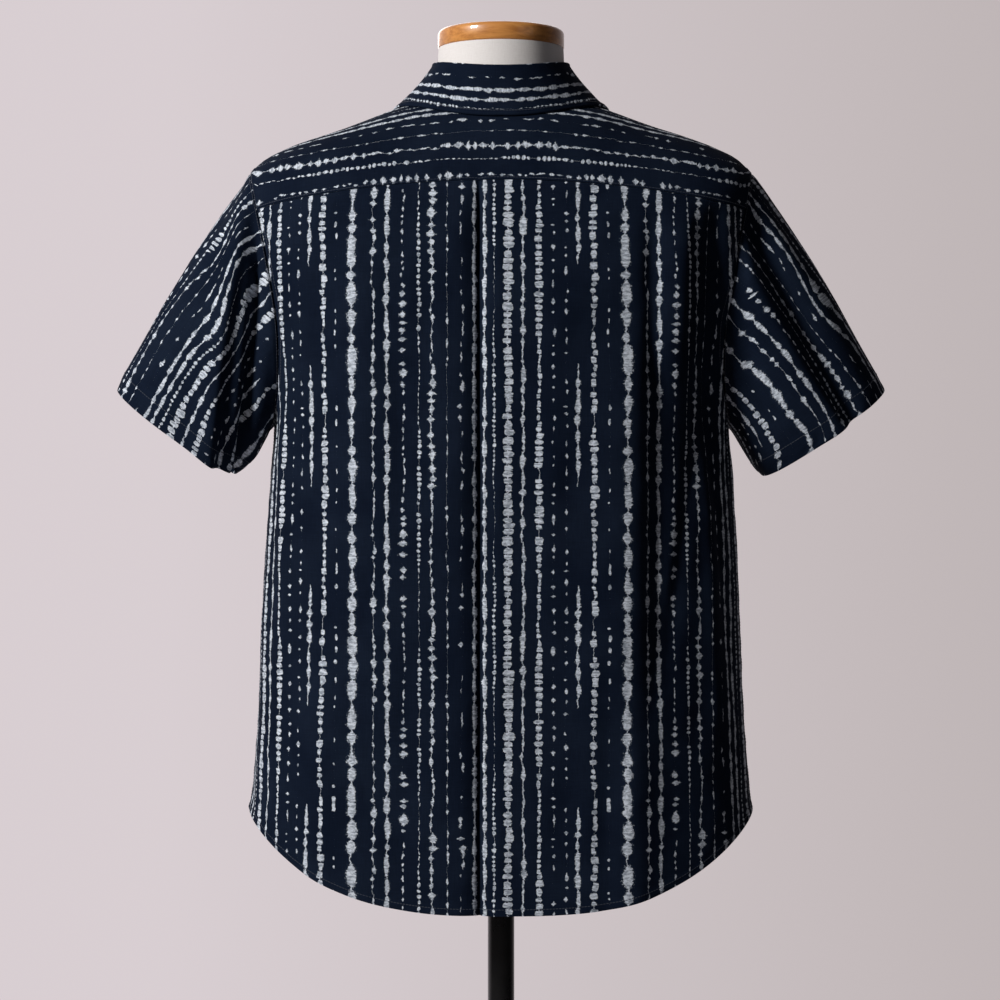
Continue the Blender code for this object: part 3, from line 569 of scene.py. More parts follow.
@dataclass
class Loom:
    """Builds one material's node tree."""

    material: bpy.types.Material

    @classmethod
    def new(cls, name: str) -> "Loom":
        """A fresh material with nothing but its shader and output."""
        material = bpy.data.materials.new(name)
        material.use_nodes = True
        return cls(material)

    @property
    def shader(self) -> bpy.types.Node:
        """The Principled shader."""
        return self.material.node_tree.nodes["Principled BSDF"]

    def add(
        self,
        kind: str,
        settings: dict[str, Any] | None = None,
        inputs: dict[int | str, Any] | None = None,
        output: int | str = 0,
    ) -> Signal:
        """A node of any type.

        Args:
            kind: the node's type.
            settings: its properties, set first. "stops" fills a colour ramp and "ramp" sets how
                it goes from stop to stop.
            inputs: values or signals for its sockets.
            output: which output to return.

        Returns:
            The chosen output.
        """
        node = self.material.node_tree.nodes.new(kind)
        for name, value in (settings or {}).items():
            if name == "stops":
                fill_ramp(node.color_ramp, value)
            elif name == "ramp":
                node.color_ramp.interpolation = value
            else:
                setattr(node, name, value)
        for key, value in (inputs or {}).items():
            self.feed(node.inputs[key], value)
        return Signal(self, node.outputs[output])

    def feed(self, socket: bpy.types.NodeSocket, value: Any) -> None:
        """Links a socket to a signal, or sets its value."""
        if isinstance(value, Signal):
            self.material.node_tree.links.new(value.socket, socket)
        else:
            socket.default_value = value

    def set(self, **values: Any) -> None:
        """Feeds the shader's sockets; an underscore in a name stands for a space."""
        for name, value in values.items():
            self.feed(self.shader.inputs[name.replace("_", " ")], value)

    def mix(self, share: Any, first: Any, second: Any, blend: str = "MIX") -> Signal:
        """A blend of two colours."""
        settings = {"data_type": "RGBA", "blend_type": blend}
        return self.add("ShaderNodeMix", settings, {0: share, 6: first, 7: second}, output=2)

    def tint(self, colour: Any, by: Signal) -> Signal:
        """A colour made darker or lighter by a factor."""
        grey = self.add("ShaderNodeCombineColor", {}, {0: by, 1: by, 2: by})
        return self.mix(1.0, colour, grey, "MULTIPLY")

    def place(self) -> Signal:
        """Object coordinates."""
        return self.add("ShaderNodeTexCoord", output="Object")

    def noise(
        self,
        vector: Signal,
        scale: float,
        detail: float = 2.0,
        roughness: float = 0.5,
    ) -> Signal:
        """Soft noise from 0 to 1."""
        inputs = {"Vector": vector, "Scale": scale, "Detail": detail, "Roughness": roughness}
        return self.add("ShaderNodeTexNoise", {"noise_dimensions": "3D"}, inputs)

    def vector(self, x: Any = 0.0, y: Any = 0.0, z: Any = 0.0) -> Signal:
        """Three values as a vector."""
        return self.add("ShaderNodeCombineXYZ", {}, {0: x, 1: y, 2: z})

    def stretched(self, vector: Signal, scale: tuple[float, float, float]) -> Signal:
        """A vector scaled along each axis."""
        return self.add("ShaderNodeMapping", {}, {"Vector": vector, "Scale": scale})

    def relief(self, height: Signal, distance: float, strength: float = 1.0) -> Signal:
        """A Bump node's normal."""
        inputs = {"Height": height, "Distance": distance, "Strength": strength}
        return self.add("ShaderNodeBump", {}, inputs)


# Finishes


class Mark(Enum):
    """Outline of a resist mark: the powers by which it narrows across and along its stripe."""

    LENS = (1.0, 2.0)
    DIAMOND = (1.0, 1.2)
    ROUND = (2.0, 2.0)
    RUNG = (5.0, 2.0)


class Stripe(NamedTuple):
    """One stripe of the cloth's repeat.

    at is in millimetres from the first stripe and half_width in millimetres. count is the marks
    in one repeat down the cloth, fill the share of the pitch that a mark takes, uneven how much
    marks differ, and neck the width of the thread between marks. Marks are largest at peak, a
    share of the repeat, and fall to low away from it. gap is how much of the repeat lies at low,
    and lost the share of marks left out.
    """

    at: float
    half_width: float
    count: int
    fill: float
    mark: Mark
    uneven: float
    neck: float
    low: float
    peak: float
    gap: float
    lost: float


STRIPES: tuple[Stripe, ...] = (
    Stripe(0.0, 4.4, 10, 1.04, Mark.LENS, 0.36, 0.10, 1.0, 0.0, 0.0, 0.0),
    Stripe(21.0, 2.6, 20, 0.86, Mark.DIAMOND, 0.86, 0.05, 0.55, 0.1, 0.3, 0.05),
    Stripe(34.0, 2.8, 11, 1.02, Mark.LENS, 0.34, 0.14, 1.0, 0.0, 0.0, 0.0),
    Stripe(49.5, 3.9, 25, 0.74, Mark.DIAMOND, 0.52, 0.0, 0.26, 0.72, 0.45, 0.10),
    Stripe(64.5, 1.9, 39, 0.70, Mark.ROUND, 0.52, 0.04, 0.25, 0.45, 0.30, 0.08),
    Stripe(77.0, 3.5, 21, 0.92, Mark.DIAMOND, 0.71, 0.10, 0.45, 0.2, 0.25, 0.0),
    Stripe(91.5, 1.4, 19, 0.62, Mark.DIAMOND, 0.95, 0.03, 0.65, 0.5, 0.5, 0.22),
    Stripe(105.0, 3.1, 14, 0.55, Mark.DIAMOND, 0.95, 0.0, 0.30, 0.02, 0.80, 0.12),
    Stripe(117.0, 2.1, 12, 1.02, Mark.LENS, 0.23, 0.20, 1.0, 0.0, 0.0, 0.0),
    Stripe(126.5, 2.1, 11, 1.02, Mark.LENS, 0.25, 0.20, 1.0, 0.0, 0.0, 0.0),
    Stripe(135.5, 1.6, 44, 0.68, Mark.ROUND, 0.52, 0.06, 0.15, 0.02, 0.25, 0.05),
    Stripe(148.5, 4.7, 30, 0.86, Mark.RUNG, 0.46, 0.12, 0.82, 0.45, 0.3, 0.0),
    Stripe(162.5, 2.5, 15, 1.02, Mark.DIAMOND, 0.69, 0.22, 0.8, 0.3, 0.3, 0.0),
    Stripe(177.5, 3.8, 33, 0.80, Mark.RUNG, 0.41, 0.06, 0.42, 0.42, 0.30, 0.02),
    Stripe(191.0, 1.8, 17, 0.36, Mark.DIAMOND, 0.71, 0.0, 1.0, 0.0, 0.0, 0.05),
    Stripe(203.0, 1.8, 17, 0.36, Mark.DIAMOND, 0.71, 0.0, 1.0, 0.0, 0.0, 0.07),
    Stripe(214.0, 2.6, 14, 1.02, Mark.LENS, 0.41, 0.16, 0.0, 0.12, 0.45, 0.0),
    Stripe(229.0, 3.8, 26, 0.78, Mark.RUNG, 0.57, 0.05, 0.72, 0.3, 0.3, 0.04),
    Stripe(243.0, 1.4, 16, 0.40, Mark.ROUND, 0.92, 0.0, 0.55, 0.0, 0.4, 0.42),
)
REPEAT_WIDTH = 0.2600
REPEAT_LENGTH = 0.2080
MILLIMETRE = 0.001
WIDTH_UNIT = 0.008
COUNT_UNIT = 64.0
POWER_UNIT = 8.0
FILL_UNIT = 2.0
OUTSIDE = 5.0


@dataclass(frozen=True)
class StripedCloth:
    """Navy cotton with pale broken stripes in resist dye, charted across the cloth and down it."""

    name: str = "striped_cloth"
    ground: tuple[float, ...] = (0.0050, 0.0092, 0.0215, 1.0)
    ground_pale: tuple[float, ...] = (0.0085, 0.0145, 0.0300, 1.0)
    bleed: tuple[float, ...] = (0.0700, 0.0950, 0.1350, 1.0)
    mark: tuple[float, ...] = (0.7200, 0.7750, 0.8600, 1.0)
    mark_dim: tuple[float, ...] = (0.2750, 0.3150, 0.3750, 1.0)
    thread: float = 0.00045

    def build(self) -> bpy.types.Material:
        """Marks over the ground, each with the weave's own unevenness."""
        loom = Loom.new(self.name)
        uv = loom.add("ShaderNodeUVMap", {"uv_map": UV_NAME})
        parts = loom.add("ShaderNodeSeparateXYZ", {}, {0: uv})
        across, along = parts, parts.other("Y")
        reach = self._reach(loom, uv, across, along)
        warp = loom.noise(loom.stretched(uv, (900.0, 60.0, 1.0)), 1.0, 1.0)
        weft = loom.noise(loom.stretched(uv, (60.0, 900.0, 1.0)), 1.0, 1.0)
        slub = warp + weft
        cloud = loom.noise(uv, 14.0, 3.0).ramped(0.3, 0.7)
        ground = loom.tint(loom.mix(cloud, self.ground, self.ground_pale), 0.60 + slub * 0.40)
        ground = loom.mix(reach.ramped(1.7, 1.0) * 0.16, ground, self.bleed)
        tone = loom.noise(loom.stretched(uv, (150.0, 440.0, 1.0)), 1.0, 3.0, 0.7).ramped(0.37, 0.61)
        pale = loom.tint(loom.mix(tone, self.mark_dim, self.mark), 0.80 + slub * 0.20)
        pitch = 2 * math.pi / self.thread
        wave = (across * pitch).sin() * (along * pitch).sin()
        loom.set(
            Base_Color=loom.mix(reach.ramped(1.09, 0.90), ground, pale),
            Roughness=0.86,
            Specular_IOR_Level=0.03,
            Normal=loom.relief(wave * 0.5 + slub, 0.00010, 0.5),
        )
        return loom.material

    def _chart(self, loom: Loom, repeat: Signal) -> list[Signal]:
        """Each stripe's numbers at a share of the repeat, from three stepped ramps.

        Args:
            loom: the material's node tree.
            repeat: the share of the repeat.

        Returns:
            Centre, half-width, count and fill, powers across and along, uneven and neck, and low,
            peak, gap and lost. Those of the first three that pass 1 are shares of their units.
        """
        rows = []
        for stripe in STRIPES:
            centre = (stripe.at * MILLIMETRE + self.margin) / REPEAT_WIDTH
            powers = (stripe.mark.value[0] / POWER_UNIT, stripe.mark.value[1] / POWER_UNIT)
            width = stripe.half_width * MILLIMETRE / WIDTH_UNIT
            rows.append((
                (centre, width, stripe.count / COUNT_UNIT, stripe.fill / FILL_UNIT),
                (*powers, stripe.uneven, stripe.neck),
                (stripe.low, stripe.peak, stripe.gap, stripe.lost),
            ))
        starts = [0.0] + [(a[0][0] + b[0][0]) / 2 for a, b in zip(rows, rows[1:])]
        found = []
        for part in range(3):
            stops = [(start, row[part]) for start, row in zip(starts, rows)]
            ramp = loom.add("ShaderNodeValToRGB", {"stops": stops, "ramp": "CONSTANT"}, {0: repeat})
            split = loom.add("ShaderNodeSeparateColor", {}, {0: ramp})
            found += [split, split.other("Green"), split.other("Blue"), ramp.other("Alpha")]
        return found

    @property
    def margin(self) -> float:
        """Half the plain space between repeats, so that no stripe is cut by a repeat's end."""
        return (REPEAT_WIDTH - STRIPES[-1].at * MILLIMETRE) / 2

    def _reach(self, loom: Loom, uv: Signal, across: Signal, along: Signal) -> Signal:
        """How far a place lies out of its mark: below 1 inside, above 1 outside.

        It is |x / half-width|^a + |y / half-height|^b inside each pitch, where sizes and middles
        change with white noise of the stripe and the mark's number in the repeat, times soft
        noise for a ragged edge.
        """
        repeat = ((across + self.margin) / REPEAT_WIDTH) % 1.0
        chart = self._chart(loom, repeat)
        centre, width, count, fill, a, b, uneven, neck, low, peak, gap, lost = chart
        width = width * WIDTH_UNIT
        count = (count * COUNT_UNIT + 0.5).floor()
        down = along / REPEAT_LENGTH
        shake = self._shake(loom, uv)
        wander = loom.noise(loom.vector(centre * 60.0, along * 30.0), 1.0, 2.0) - 0.5
        x = (repeat - centre) * REPEAT_WIDTH + wander * 0.0030
        x = x + (shake - 0.5) * (width * 0.75 + 0.0012)
        drift = loom.noise(loom.vector(centre * 41.0, down * 9.0, 3.0), 1.0, 1.0)
        steps = (down + (shake.other("Green") - 0.5) * 0.0085) * count + drift * 2.2
        number = steps.floor()
        seed = loom.vector(number, centre * 97.0)
        settings = {"noise_dimensions": "2D"}
        chance = loom.add("ShaderNodeTexWhiteNoise", settings, {"Vector": seed}, "Color")
        split = loom.add("ShaderNodeSeparateColor", {}, {0: chance})
        one, two, three = split, split.other("Green"), split.other("Blue")
        wave = ((down - peak) * (2 * math.pi)).cos() * 0.5 + 0.5
        size = low + (1 - low) * wave.ramped(gap - 0.15, gap + 0.35)
        half_width = width * size * (1.02 - uneven * 0.85 + uneven * one * 1.15)
        half_height = fill * (FILL_UNIT / 2) * (1 - uneven * 0.50 + uneven * two * 0.75)
        y = steps - number - 0.5 - (three - 0.5) * uneven * 0.40
        x = x - (two - 0.5) * uneven * width * 0.9
        ragged = loom.noise(uv, 620.0, 3.0, 0.7)
        shape = (abs(x) / half_width) ** (a * POWER_UNIT)
        shape = shape + (abs(y) / half_height) ** (b * POWER_UNIT)
        shape = shape * (0.18 + ragged * 1.64)
        absent = (chance.other("Value") < lost) + (size < 0.14)
        thread = abs(x) / (neck * width * size + 0.000001) * (0.4 + ragged * 1.2)
        return (shape + absent * OUTSIDE).least(thread + (size < 0.14) * OUTSIDE)

    @staticmethod
    def _shake(loom: Loom, uv: Signal) -> Signal:
        """Noise in three colours that pushes a mark's outline about."""
        inputs = {"Vector": uv, "Scale": 210.0, "Detail": 3.0, "Roughness": 0.65}
        noise = loom.add("ShaderNodeTexNoise", {"noise_dimensions": "2D"}, inputs, "Color")
        return loom.add("ShaderNodeSeparateColor", {}, {0: noise})


@dataclass(frozen=True)
class Linen:
    """Off-white plain-weave linen stretched over the form."""

    name: str = "linen"
    pale: tuple[float, ...] = (0.900, 0.865, 0.850, 1.0)
    shade: tuple[float, ...] = (0.790, 0.745, 0.725, 1.0)

    def build(self) -> bpy.types.Material:
        """Fine threads both ways as stretched noise, in colour and relief."""
        loom = Loom.new(self.name)
        place = loom.place()
        level = loom.noise(loom.stretched(place, (160.0, 160.0, 1900.0)), 1.0, 2.0)
        upright = loom.noise(loom.stretched(place, (1900.0, 1900.0, 160.0)), 1.0, 2.0)
        threads = level * 0.5 + upright * 0.5
        cloud = loom.noise(place, 9.0, 2.0) * 0.35
        loom.set(
            Base_Color=loom.mix((threads * 0.8 + cloud).ramped(0.25, 0.8), self.shade, self.pale),
            Roughness=0.88,
            Sheen_Weight=0.10,
            Normal=loom.relief(threads, 0.00025, 0.7),
        )
        return loom.material


@dataclass(frozen=True)
class VarnishedWood:
    """Warm beech under a clear gloss varnish."""

    name: str = "varnished_wood"
    light: tuple[float, ...] = (0.800, 0.345, 0.090, 1.0)
    dark: tuple[float, ...] = (0.520, 0.190, 0.042, 1.0)

    def build(self) -> bpy.types.Material:
        """Long grain along X with fine pores, under a coat."""
        loom = Loom.new(self.name)
        place = loom.place()
        grain = loom.noise(loom.stretched(place, (9.0, 120.0, 190.0)), 1.0, 5.0, 0.65)
        pores = loom.noise(loom.stretched(place, (60.0, 900.0, 900.0)), 1.0, 1.0).ramped(0.62, 0.72)
        colour = loom.mix(grain.ramped(0.32, 0.66), self.dark, self.light)
        loom.set(
            Base_Color=loom.mix(pores * 0.35, colour, self.dark),
            Roughness=grain * 0.12 + 0.30,
            Coat_Weight=0.8,
            Coat_Roughness=0.10,
            Normal=loom.relief(pores, 0.00008, -0.4),
        )
        return loom.material


@dataclass(frozen=True)
class PaintedMetal:
    """Black enamel on steel, with faint orange peel."""

    name: str = "black_enamel"
    colour: tuple[float, ...] = (0.0065, 0.0065, 0.0070, 1.0)
    worn: tuple[float, ...] = (0.0140, 0.0140, 0.0145, 1.0)

    def build(self) -> bpy.types.Material:
        """A gloss that clouds slightly, over fine relief."""
        loom = Loom.new(self.name)
        place = loom.place()
        cloud = loom.noise(place, 30.0, 4.0)
        loom.set(
            Base_Color=loom.mix(cloud.ramped(0.35, 0.75), self.colour, self.worn),
            Roughness=cloud * 0.16 + 0.20,
            Metallic=0.2,
            Coat_Weight=0.4,
            Normal=loom.relief(loom.noise(place, 900.0, 1.0), 0.00003, 0.5),
        )
        return loom.material


@dataclass(frozen=True)
class ButtonPlastic:
    """Dark navy resin with a faint horn-like cloud."""

    name: str = "button_resin"
    dark: tuple[float, ...] = (0.0100, 0.0120, 0.0200, 1.0)
    light: tuple[float, ...] = (0.0450, 0.0500, 0.0680, 1.0)

    def build(self) -> bpy.types.Material:
        """Two tones clouded together under a soft gloss."""
        loom = Loom.new(self.name)
        place = loom.place()
        cloud = loom.noise(loom.stretched(place, (240.0, 240.0, 90.0)), 1.0, 3.0, 0.6)
        loom.set(
            Base_Color=loom.mix(cloud.ramped(0.40, 0.72), self.dark, self.light),
            Roughness=cloud * 0.1 + 0.22,
            Normal=loom.relief(loom.noise(place, 700.0, 2.0), 0.00003, 0.4),
        )
        return loom.material


@dataclass(frozen=True)
class Thread:
    """Navy sewing thread, twisted from two plies."""

    name: str = "thread"
    dark: tuple[float, ...] = (0.0110, 0.0165, 0.0340, 1.0)
    light: tuple[float, ...] = (0.0280, 0.0380, 0.0640, 1.0)

    def build(self) -> bpy.types.Material:
        """Ply as fine noise in colour and relief."""
        loom = Loom.new(self.name)
        ply = loom.noise(loom.place(), 2600.0, 1.0)
        loom.set(
            Base_Color=loom.mix(ply.ramped(0.3, 0.7), self.dark, self.light),
            Roughness=0.62,
            Sheen_Weight=0.2,
            Normal=loom.relief(ply, 0.00006, 0.6),
        )
        return loom.material


@dataclass(frozen=True)
class PaleFloor:
    """A plain pale studio floor."""

    name: str = "pale_floor"
    colour: tuple[float, ...] = (0.56, 0.52, 0.53, 1.0)
    other: tuple[float, ...] = (0.60, 0.56, 0.57, 1.0)

    def build(self) -> bpy.types.Material:
        """Two near tones clouded together."""
        loom = Loom.new(self.name)
        cloud = loom.noise(loom.place(), 3.0)
        loom.set(Base_Color=loom.mix(cloud, self.colour, self.other), Roughness=0.75)
        return loom.material


# Meshes


def add_mesh(
    name: str,
    vertices: Array,
    faces: Sequence[Array],
    uv: Array | None = None,
) -> bpy.types.Object:
    """A smooth-shaded object with its faces turned outwards.

    Args:
        name: the piece's name.
        vertices: points, three numbers each.
        faces: arrays of vertex numbers, one row a face.
        uv: the cloth's own coordinates in metres, one pair a vertex.

    Returns:
        The linked object, at the origin.
    """
    mesh = bpy.data.meshes.new(name)
    corner_lists = [face for part in faces for face in part.tolist()]
    mesh.from_pydata(vertices.reshape(-1, 3).tolist(), [], corner_lists)
    shape = bmesh.new()
    shape.from_mesh(mesh)
    bmesh.ops.recalc_face_normals(shape, faces=shape.faces)
    shape.to_mesh(mesh)
    shape.free()
    if uv is not None:
        corners = np.empty(len(mesh.loops), dtype=np.int32)
        mesh.loops.foreach_get("vertex_index", corners)
        layer = mesh.uv_layers.new(name=UV_NAME)
        layer.data.foreach_set("uv", uv.reshape(-1, 2)[corners].ravel())
    mesh.shade_smooth()
    mesh.set_sharp_from_angle(angle=SHARP_ANGLE)
    made = bpy.data.objects.new(name, mesh)
    bpy.context.scene.collection.objects.link(made)
    return made


def grid_faces(
    rows: int,
    columns: int,
    ring: bool = False,
    start: int = 0,
    flip: bool = False,
) -> Array:
    """Quads of a grid of points.

    Args:
        rows, columns: the grid's size; its points are numbered row by row.
        ring: whether the last column joins the first.
        start: the first point's number.
        flip: whether the faces look the other way.

    Returns:
        Four point numbers for each quad.
    """
    here = np.arange(rows - 1)[:, None] * columns
    below = here + columns
    j = np.arange(columns if ring else columns - 1)[None, :]
    k = (j + 1) % columns
    quad = np.stack(np.broadcast_arrays(here + j, here + k, below + k, below + j))
    quad = quad.reshape(4, -1).T + start
    return quad[:, ::-1] if flip else quad


def rim_faces(line: Array, offset: int, ring: bool) -> Array:
    """Quads that join a line of outer points to the same line of inner points."""
    after = np.roll(line, -1) if ring else line[1:]
    first = line if ring else line[:-1]
    return np.stack([first, after, after + offset, first + offset], axis=1)


@dataclass
class Shell:
    """A thin piece of cloth: an outer grid of points, the same moved in, and the rims between.

    spread and slant say how the stripes are drawn out across and wound on the cut.
    """

    name: str
    outer: Array
    normal: Array
    uv: Array
    thickness: float = CLOTH_THICKNESS
    ring: bool = False
    rim_round: float = 0.34
    spread: float = 1.0
    slant: float = 0.0

    def build(self) -> bpy.types.Object:
        """The closed mesh. A rim is rounded by drawing both faces' last line towards the middle."""
        rows, columns = self.outer.shape[:2]
        depth = np.zeros((rows, columns))
        edges = [np.s_[0, :], np.s_[-1, :]]
        if not self.ring:
            edges += [np.s_[:, 0], np.s_[:, -1]]
        for edge in edges:
            depth[edge] = self.rim_round * self.thickness
        outer = self.outer - self.normal * depth[..., None]
        inner = self.outer - self.normal * (self.thickness - depth)[..., None]
        count = rows * columns
        index = np.arange(count).reshape(rows, columns)
        faces = [grid_faces(rows, columns, self.ring)]
        faces += [grid_faces(rows, columns, self.ring, count, True)]
        faces += [rim_faces(index[0], count, self.ring), rim_faces(index[-1], count, self.ring)]
        if not self.ring:
            faces += [rim_faces(index[:, 0], count, False), rim_faces(index[:, -1], count, False)]
        vertices = np.concatenate([outer.reshape(-1, 3), inner.reshape(-1, 3)])
        return add_mesh(self.name, vertices, faces, np.concatenate([self.uv.reshape(-1, 2)] * 2))

    @property
    def area(self) -> float:
        """The outer face's area: half the cross product of each quad's diagonals."""
        grid = np.concatenate([self.outer, self.outer[:, :1]], axis=1) if self.ring else self.outer
        one, two = grid[1:, 1:] - grid[:-1, :-1], grid[1:, :-1] - grid[:-1, 1:]
        return float(np.linalg.norm(np.cross(one, two), axis=-1).sum() / 2)

    @property
    def flat(self) -> tuple[float, float]:
        """Width and length of the cut: its coordinates' reach, less their slant and spread."""
        along = self.uv[..., 1]
        across = (self.uv[..., 0] - self.slant * along) / self.spread
        return round(float(np.ptp(across)), 3), round(float(np.ptp(along)), 3)

    def inset(self, border: str, distance: float) -> tuple[Array, Array]:
        """A line inside one border, found along the grid's own lines.

        Args:
            border: top, low, left or right.
            distance: how far inside it lies.

        Returns:
            The line's points and normals.
        """
        turns = {"top": np.s_[:], "low": np.s_[::-1], "left": np.s_[:], "right": np.s_[::-1]}
        points, normals = self.outer, self.normal
        if border in ("left", "right"):
            points, normals = points.swapaxes(0, 1), normals.swapaxes(0, 1)
        points, normals = points[turns[border]], normals[turns[border]]
        depth = steps_along(points, 0)
        row = np.clip((depth < distance).sum(axis=0), 1, len(points) - 1)
        line = np.arange(points.shape[1])
        before, after = depth[row - 1, line], depth[row, line]
        share = ((distance - before) / (after - before))[:, None]
        found, facing = (
            part[row - 1, line] * (1 - share) + part[row, line] * share
            for part in (points, normals)
        )
        return found, unit(facing)


def loft(name: str, rings: Array) -> bpy.types.Object:
    """A closed solid through rings of points, with a flat end to each."""
    rows, columns = rings.shape[:2]
    index = np.arange(rows * columns).reshape(rows, columns)
    return add_mesh(name, rings, [grid_faces(rows, columns, ring=True), index[:1], index[-1:]])


def spun(profile: Sequence[tuple[float, float]], segments: int) -> Array:
    """Rings of points round Z from (radius, height) points: x is r cos, y is r sin."""
    angle = full_turn(segments)
    outline = np.array(profile)
    x, y = outline[:, :1] * np.cos(angle), outline[:, :1] * np.sin(angle)
    return np.stack(np.broadcast_arrays(x, y, outline[:, 1:]), axis=-1)


def turned(
    name: str,
    profile: Sequence[tuple[float, float]],
    segments: int = 96,
) -> bpy.types.Object:
    """A ring-shaped solid turned round Z from a closed profile of (radius, height) points."""
    outline = [*profile, profile[0]]
    points = spun(profile, segments).reshape(-1, 3)
    faces = grid_faces(len(outline), segments, ring=True) % len(points)
    return add_mesh(name, points, [faces])


def rounded(
    corners: Sequence[tuple[float, float, float]],
    steps: int = 5,
) -> list[tuple[float, float]]:
    """An outline whose corners are rounded.

    Args:
        corners: radius, height and rounding of each corner, in order round the closed outline.
        steps: points on each rounded corner.

    Returns:
        Radius and height of each point: a quadratic curve from side to side of each rounded corner.
    """
    points = np.array([corner[:2] for corner in corners])
    outline = []
    for index, (_, _, size) in enumerate(corners):
        here = points[index]
        if size == 0:
            outline.append(tuple(here))
            continue
        start = here + unit(points[index - 1] - here) * size
        end = here + unit(points[(index + 1) % len(points)] - here) * size
        for t in np.linspace(0.0, 1.0, steps):
            outline.append(tuple((1 - t) ** 2 * start + 2 * t * (1 - t) * here + t**2 * end))
    return outline


# Sewing


@dataclass(frozen=True)
class Stitching:
    """A row of lock stitches: short rounded bars laid end to end along a line."""

    pitch: float = 0.0030
    length: float = 0.0024
    width: float = 0.00034
    height: float = 0.00030
    sides: int = 6

    def bar(self) -> Array:
        """One stitch along X: four rings of six points, small at both ends."""
        along = np.array([-0.5, -0.32, 0.32, 0.5]) * self.length
        size = np.array([0.35, 1.0, 1.0, 0.35])
        angle = full_turn(self.sides)
        y = size[:, None] * np.cos(angle) * self.width
        z = size[:, None] * np.sin(angle) * self.height
        return np.stack(np.broadcast_arrays(along[:, None], y, z), axis=-1)

    def build(self, name: str, lines: Sequence[tuple[Array, Array]]) -> bpy.types.Object:
        """Stitches along several lines, each of points and normals, joined as one mesh."""
        bars = [self._along(points, normals) for points, normals in lines]
        points = np.concatenate(bars)
        count, rings, sides = points.shape[:3]
        size = rings * sides
        start = (np.arange(count) * size)[:, None, None]
        sleeve = grid_faces(rings, sides, ring=True)[None] + start
        ends = np.arange(size).reshape(rings, sides)[[0, -1]][None] + start
        return add_mesh(name, points, [sleeve.reshape(-1, 4), ends.reshape(-1, sides)])

    def _along(self, points: Array, normals: Array) -> Array:
        """One line's bars, set by arc length and turned to the line and its normal."""
        length = np.concatenate([[0.0], np.cumsum(np.linalg.norm(np.diff(points, axis=0), axis=1))])
        places = np.arange(self.pitch / 2, length[-1] - self.pitch / 2, self.pitch)
        middle, up, back, ahead = (
            np.stack([np.interp(at, length, part[:, k]) for k in range(3)], axis=-1)
            for part, at in (
                (points, places),
                (normals, places),
                (points, places - self.length / 2),
                (points, places + self.length / 2),
            )
        )
        x_axis = unit(ahead - back)
        y_axis = unit(np.cross(up, x_axis))
        z_axis = np.cross(x_axis, y_axis)
        frames = np.stack([x_axis, y_axis, z_axis], axis=1)
        bar = self.bar().reshape(-1, 3)
        turned_bars = np.einsum("vk,nkc->nvc", bar, frames) + middle[:, None]
        return turned_bars.reshape(len(places), 4, self.sides, 3)


# Cloth on the body


def bilinear(table: Array, down: Array, across: Array) -> Array:
    """Values of a table at fractional places, blended from the four nearest."""
    i = np.clip(down.astype(int), 0, table.shape[0] - 2)
    j = np.clip(across.astype(int), 0, table.shape[1] - 2)
    a, b = down - i, across - j
    first = table[i, j] * (1 - b) + table[i, j + 1] * b
    second = table[i + 1, j] * (1 - b) + table[i + 1, j + 1] * b
    return first * (1 - a) + second * a


@dataclass(frozen=True)
class BodyGrain:
    """The cloth's own coordinates on a body panel that is cut along its centre line.

    Across the stripes it is the arc length round the ring from the centre line. Down them it is
    the arc length of the centre line below a height.
    """

    centre: float
    top: float
    shift: float
    body: BodySurface = BODY
    rows: int = 150
    turns: int = 1080

    def at(self, places: Array) -> Array:
        """Coordinates in metres for (angle, row) places."""
        rows = np.linspace(0.0, self.body.last, self.rows + 1)
        angles = np.linspace(-math.pi, 2 * math.pi, self.turns + 1)
        table = np.stack(np.broadcast_arrays(angles[None], rows[:, None]), axis=-1)
        arc = steps_along(self.body.point(table), 1)
        down = places[..., 1] * self.rows / self.body.last
        turn = (places[..., 0] + math.pi) * self.turns / (3 * math.pi)
        middle = np.full_like(turn, (self.centre + math.pi) * self.turns / (3 * math.pi))
        across = bilinear(arc, down, turn) - bilinear(arc, down, middle)
        line = self.body.point(np.stack([np.full_like(rows, self.centre), rows], axis=-1))[:, None]
        length = steps_along(line, 0)[::-1, 0]
        height = line[::-1, 0, 2]
        along = np.interp(self.body.point(places)[..., 2], height, length)
        start = np.interp(self.top, height, length)
        return np.stack([across + self.shift, along - start], axis=-1)


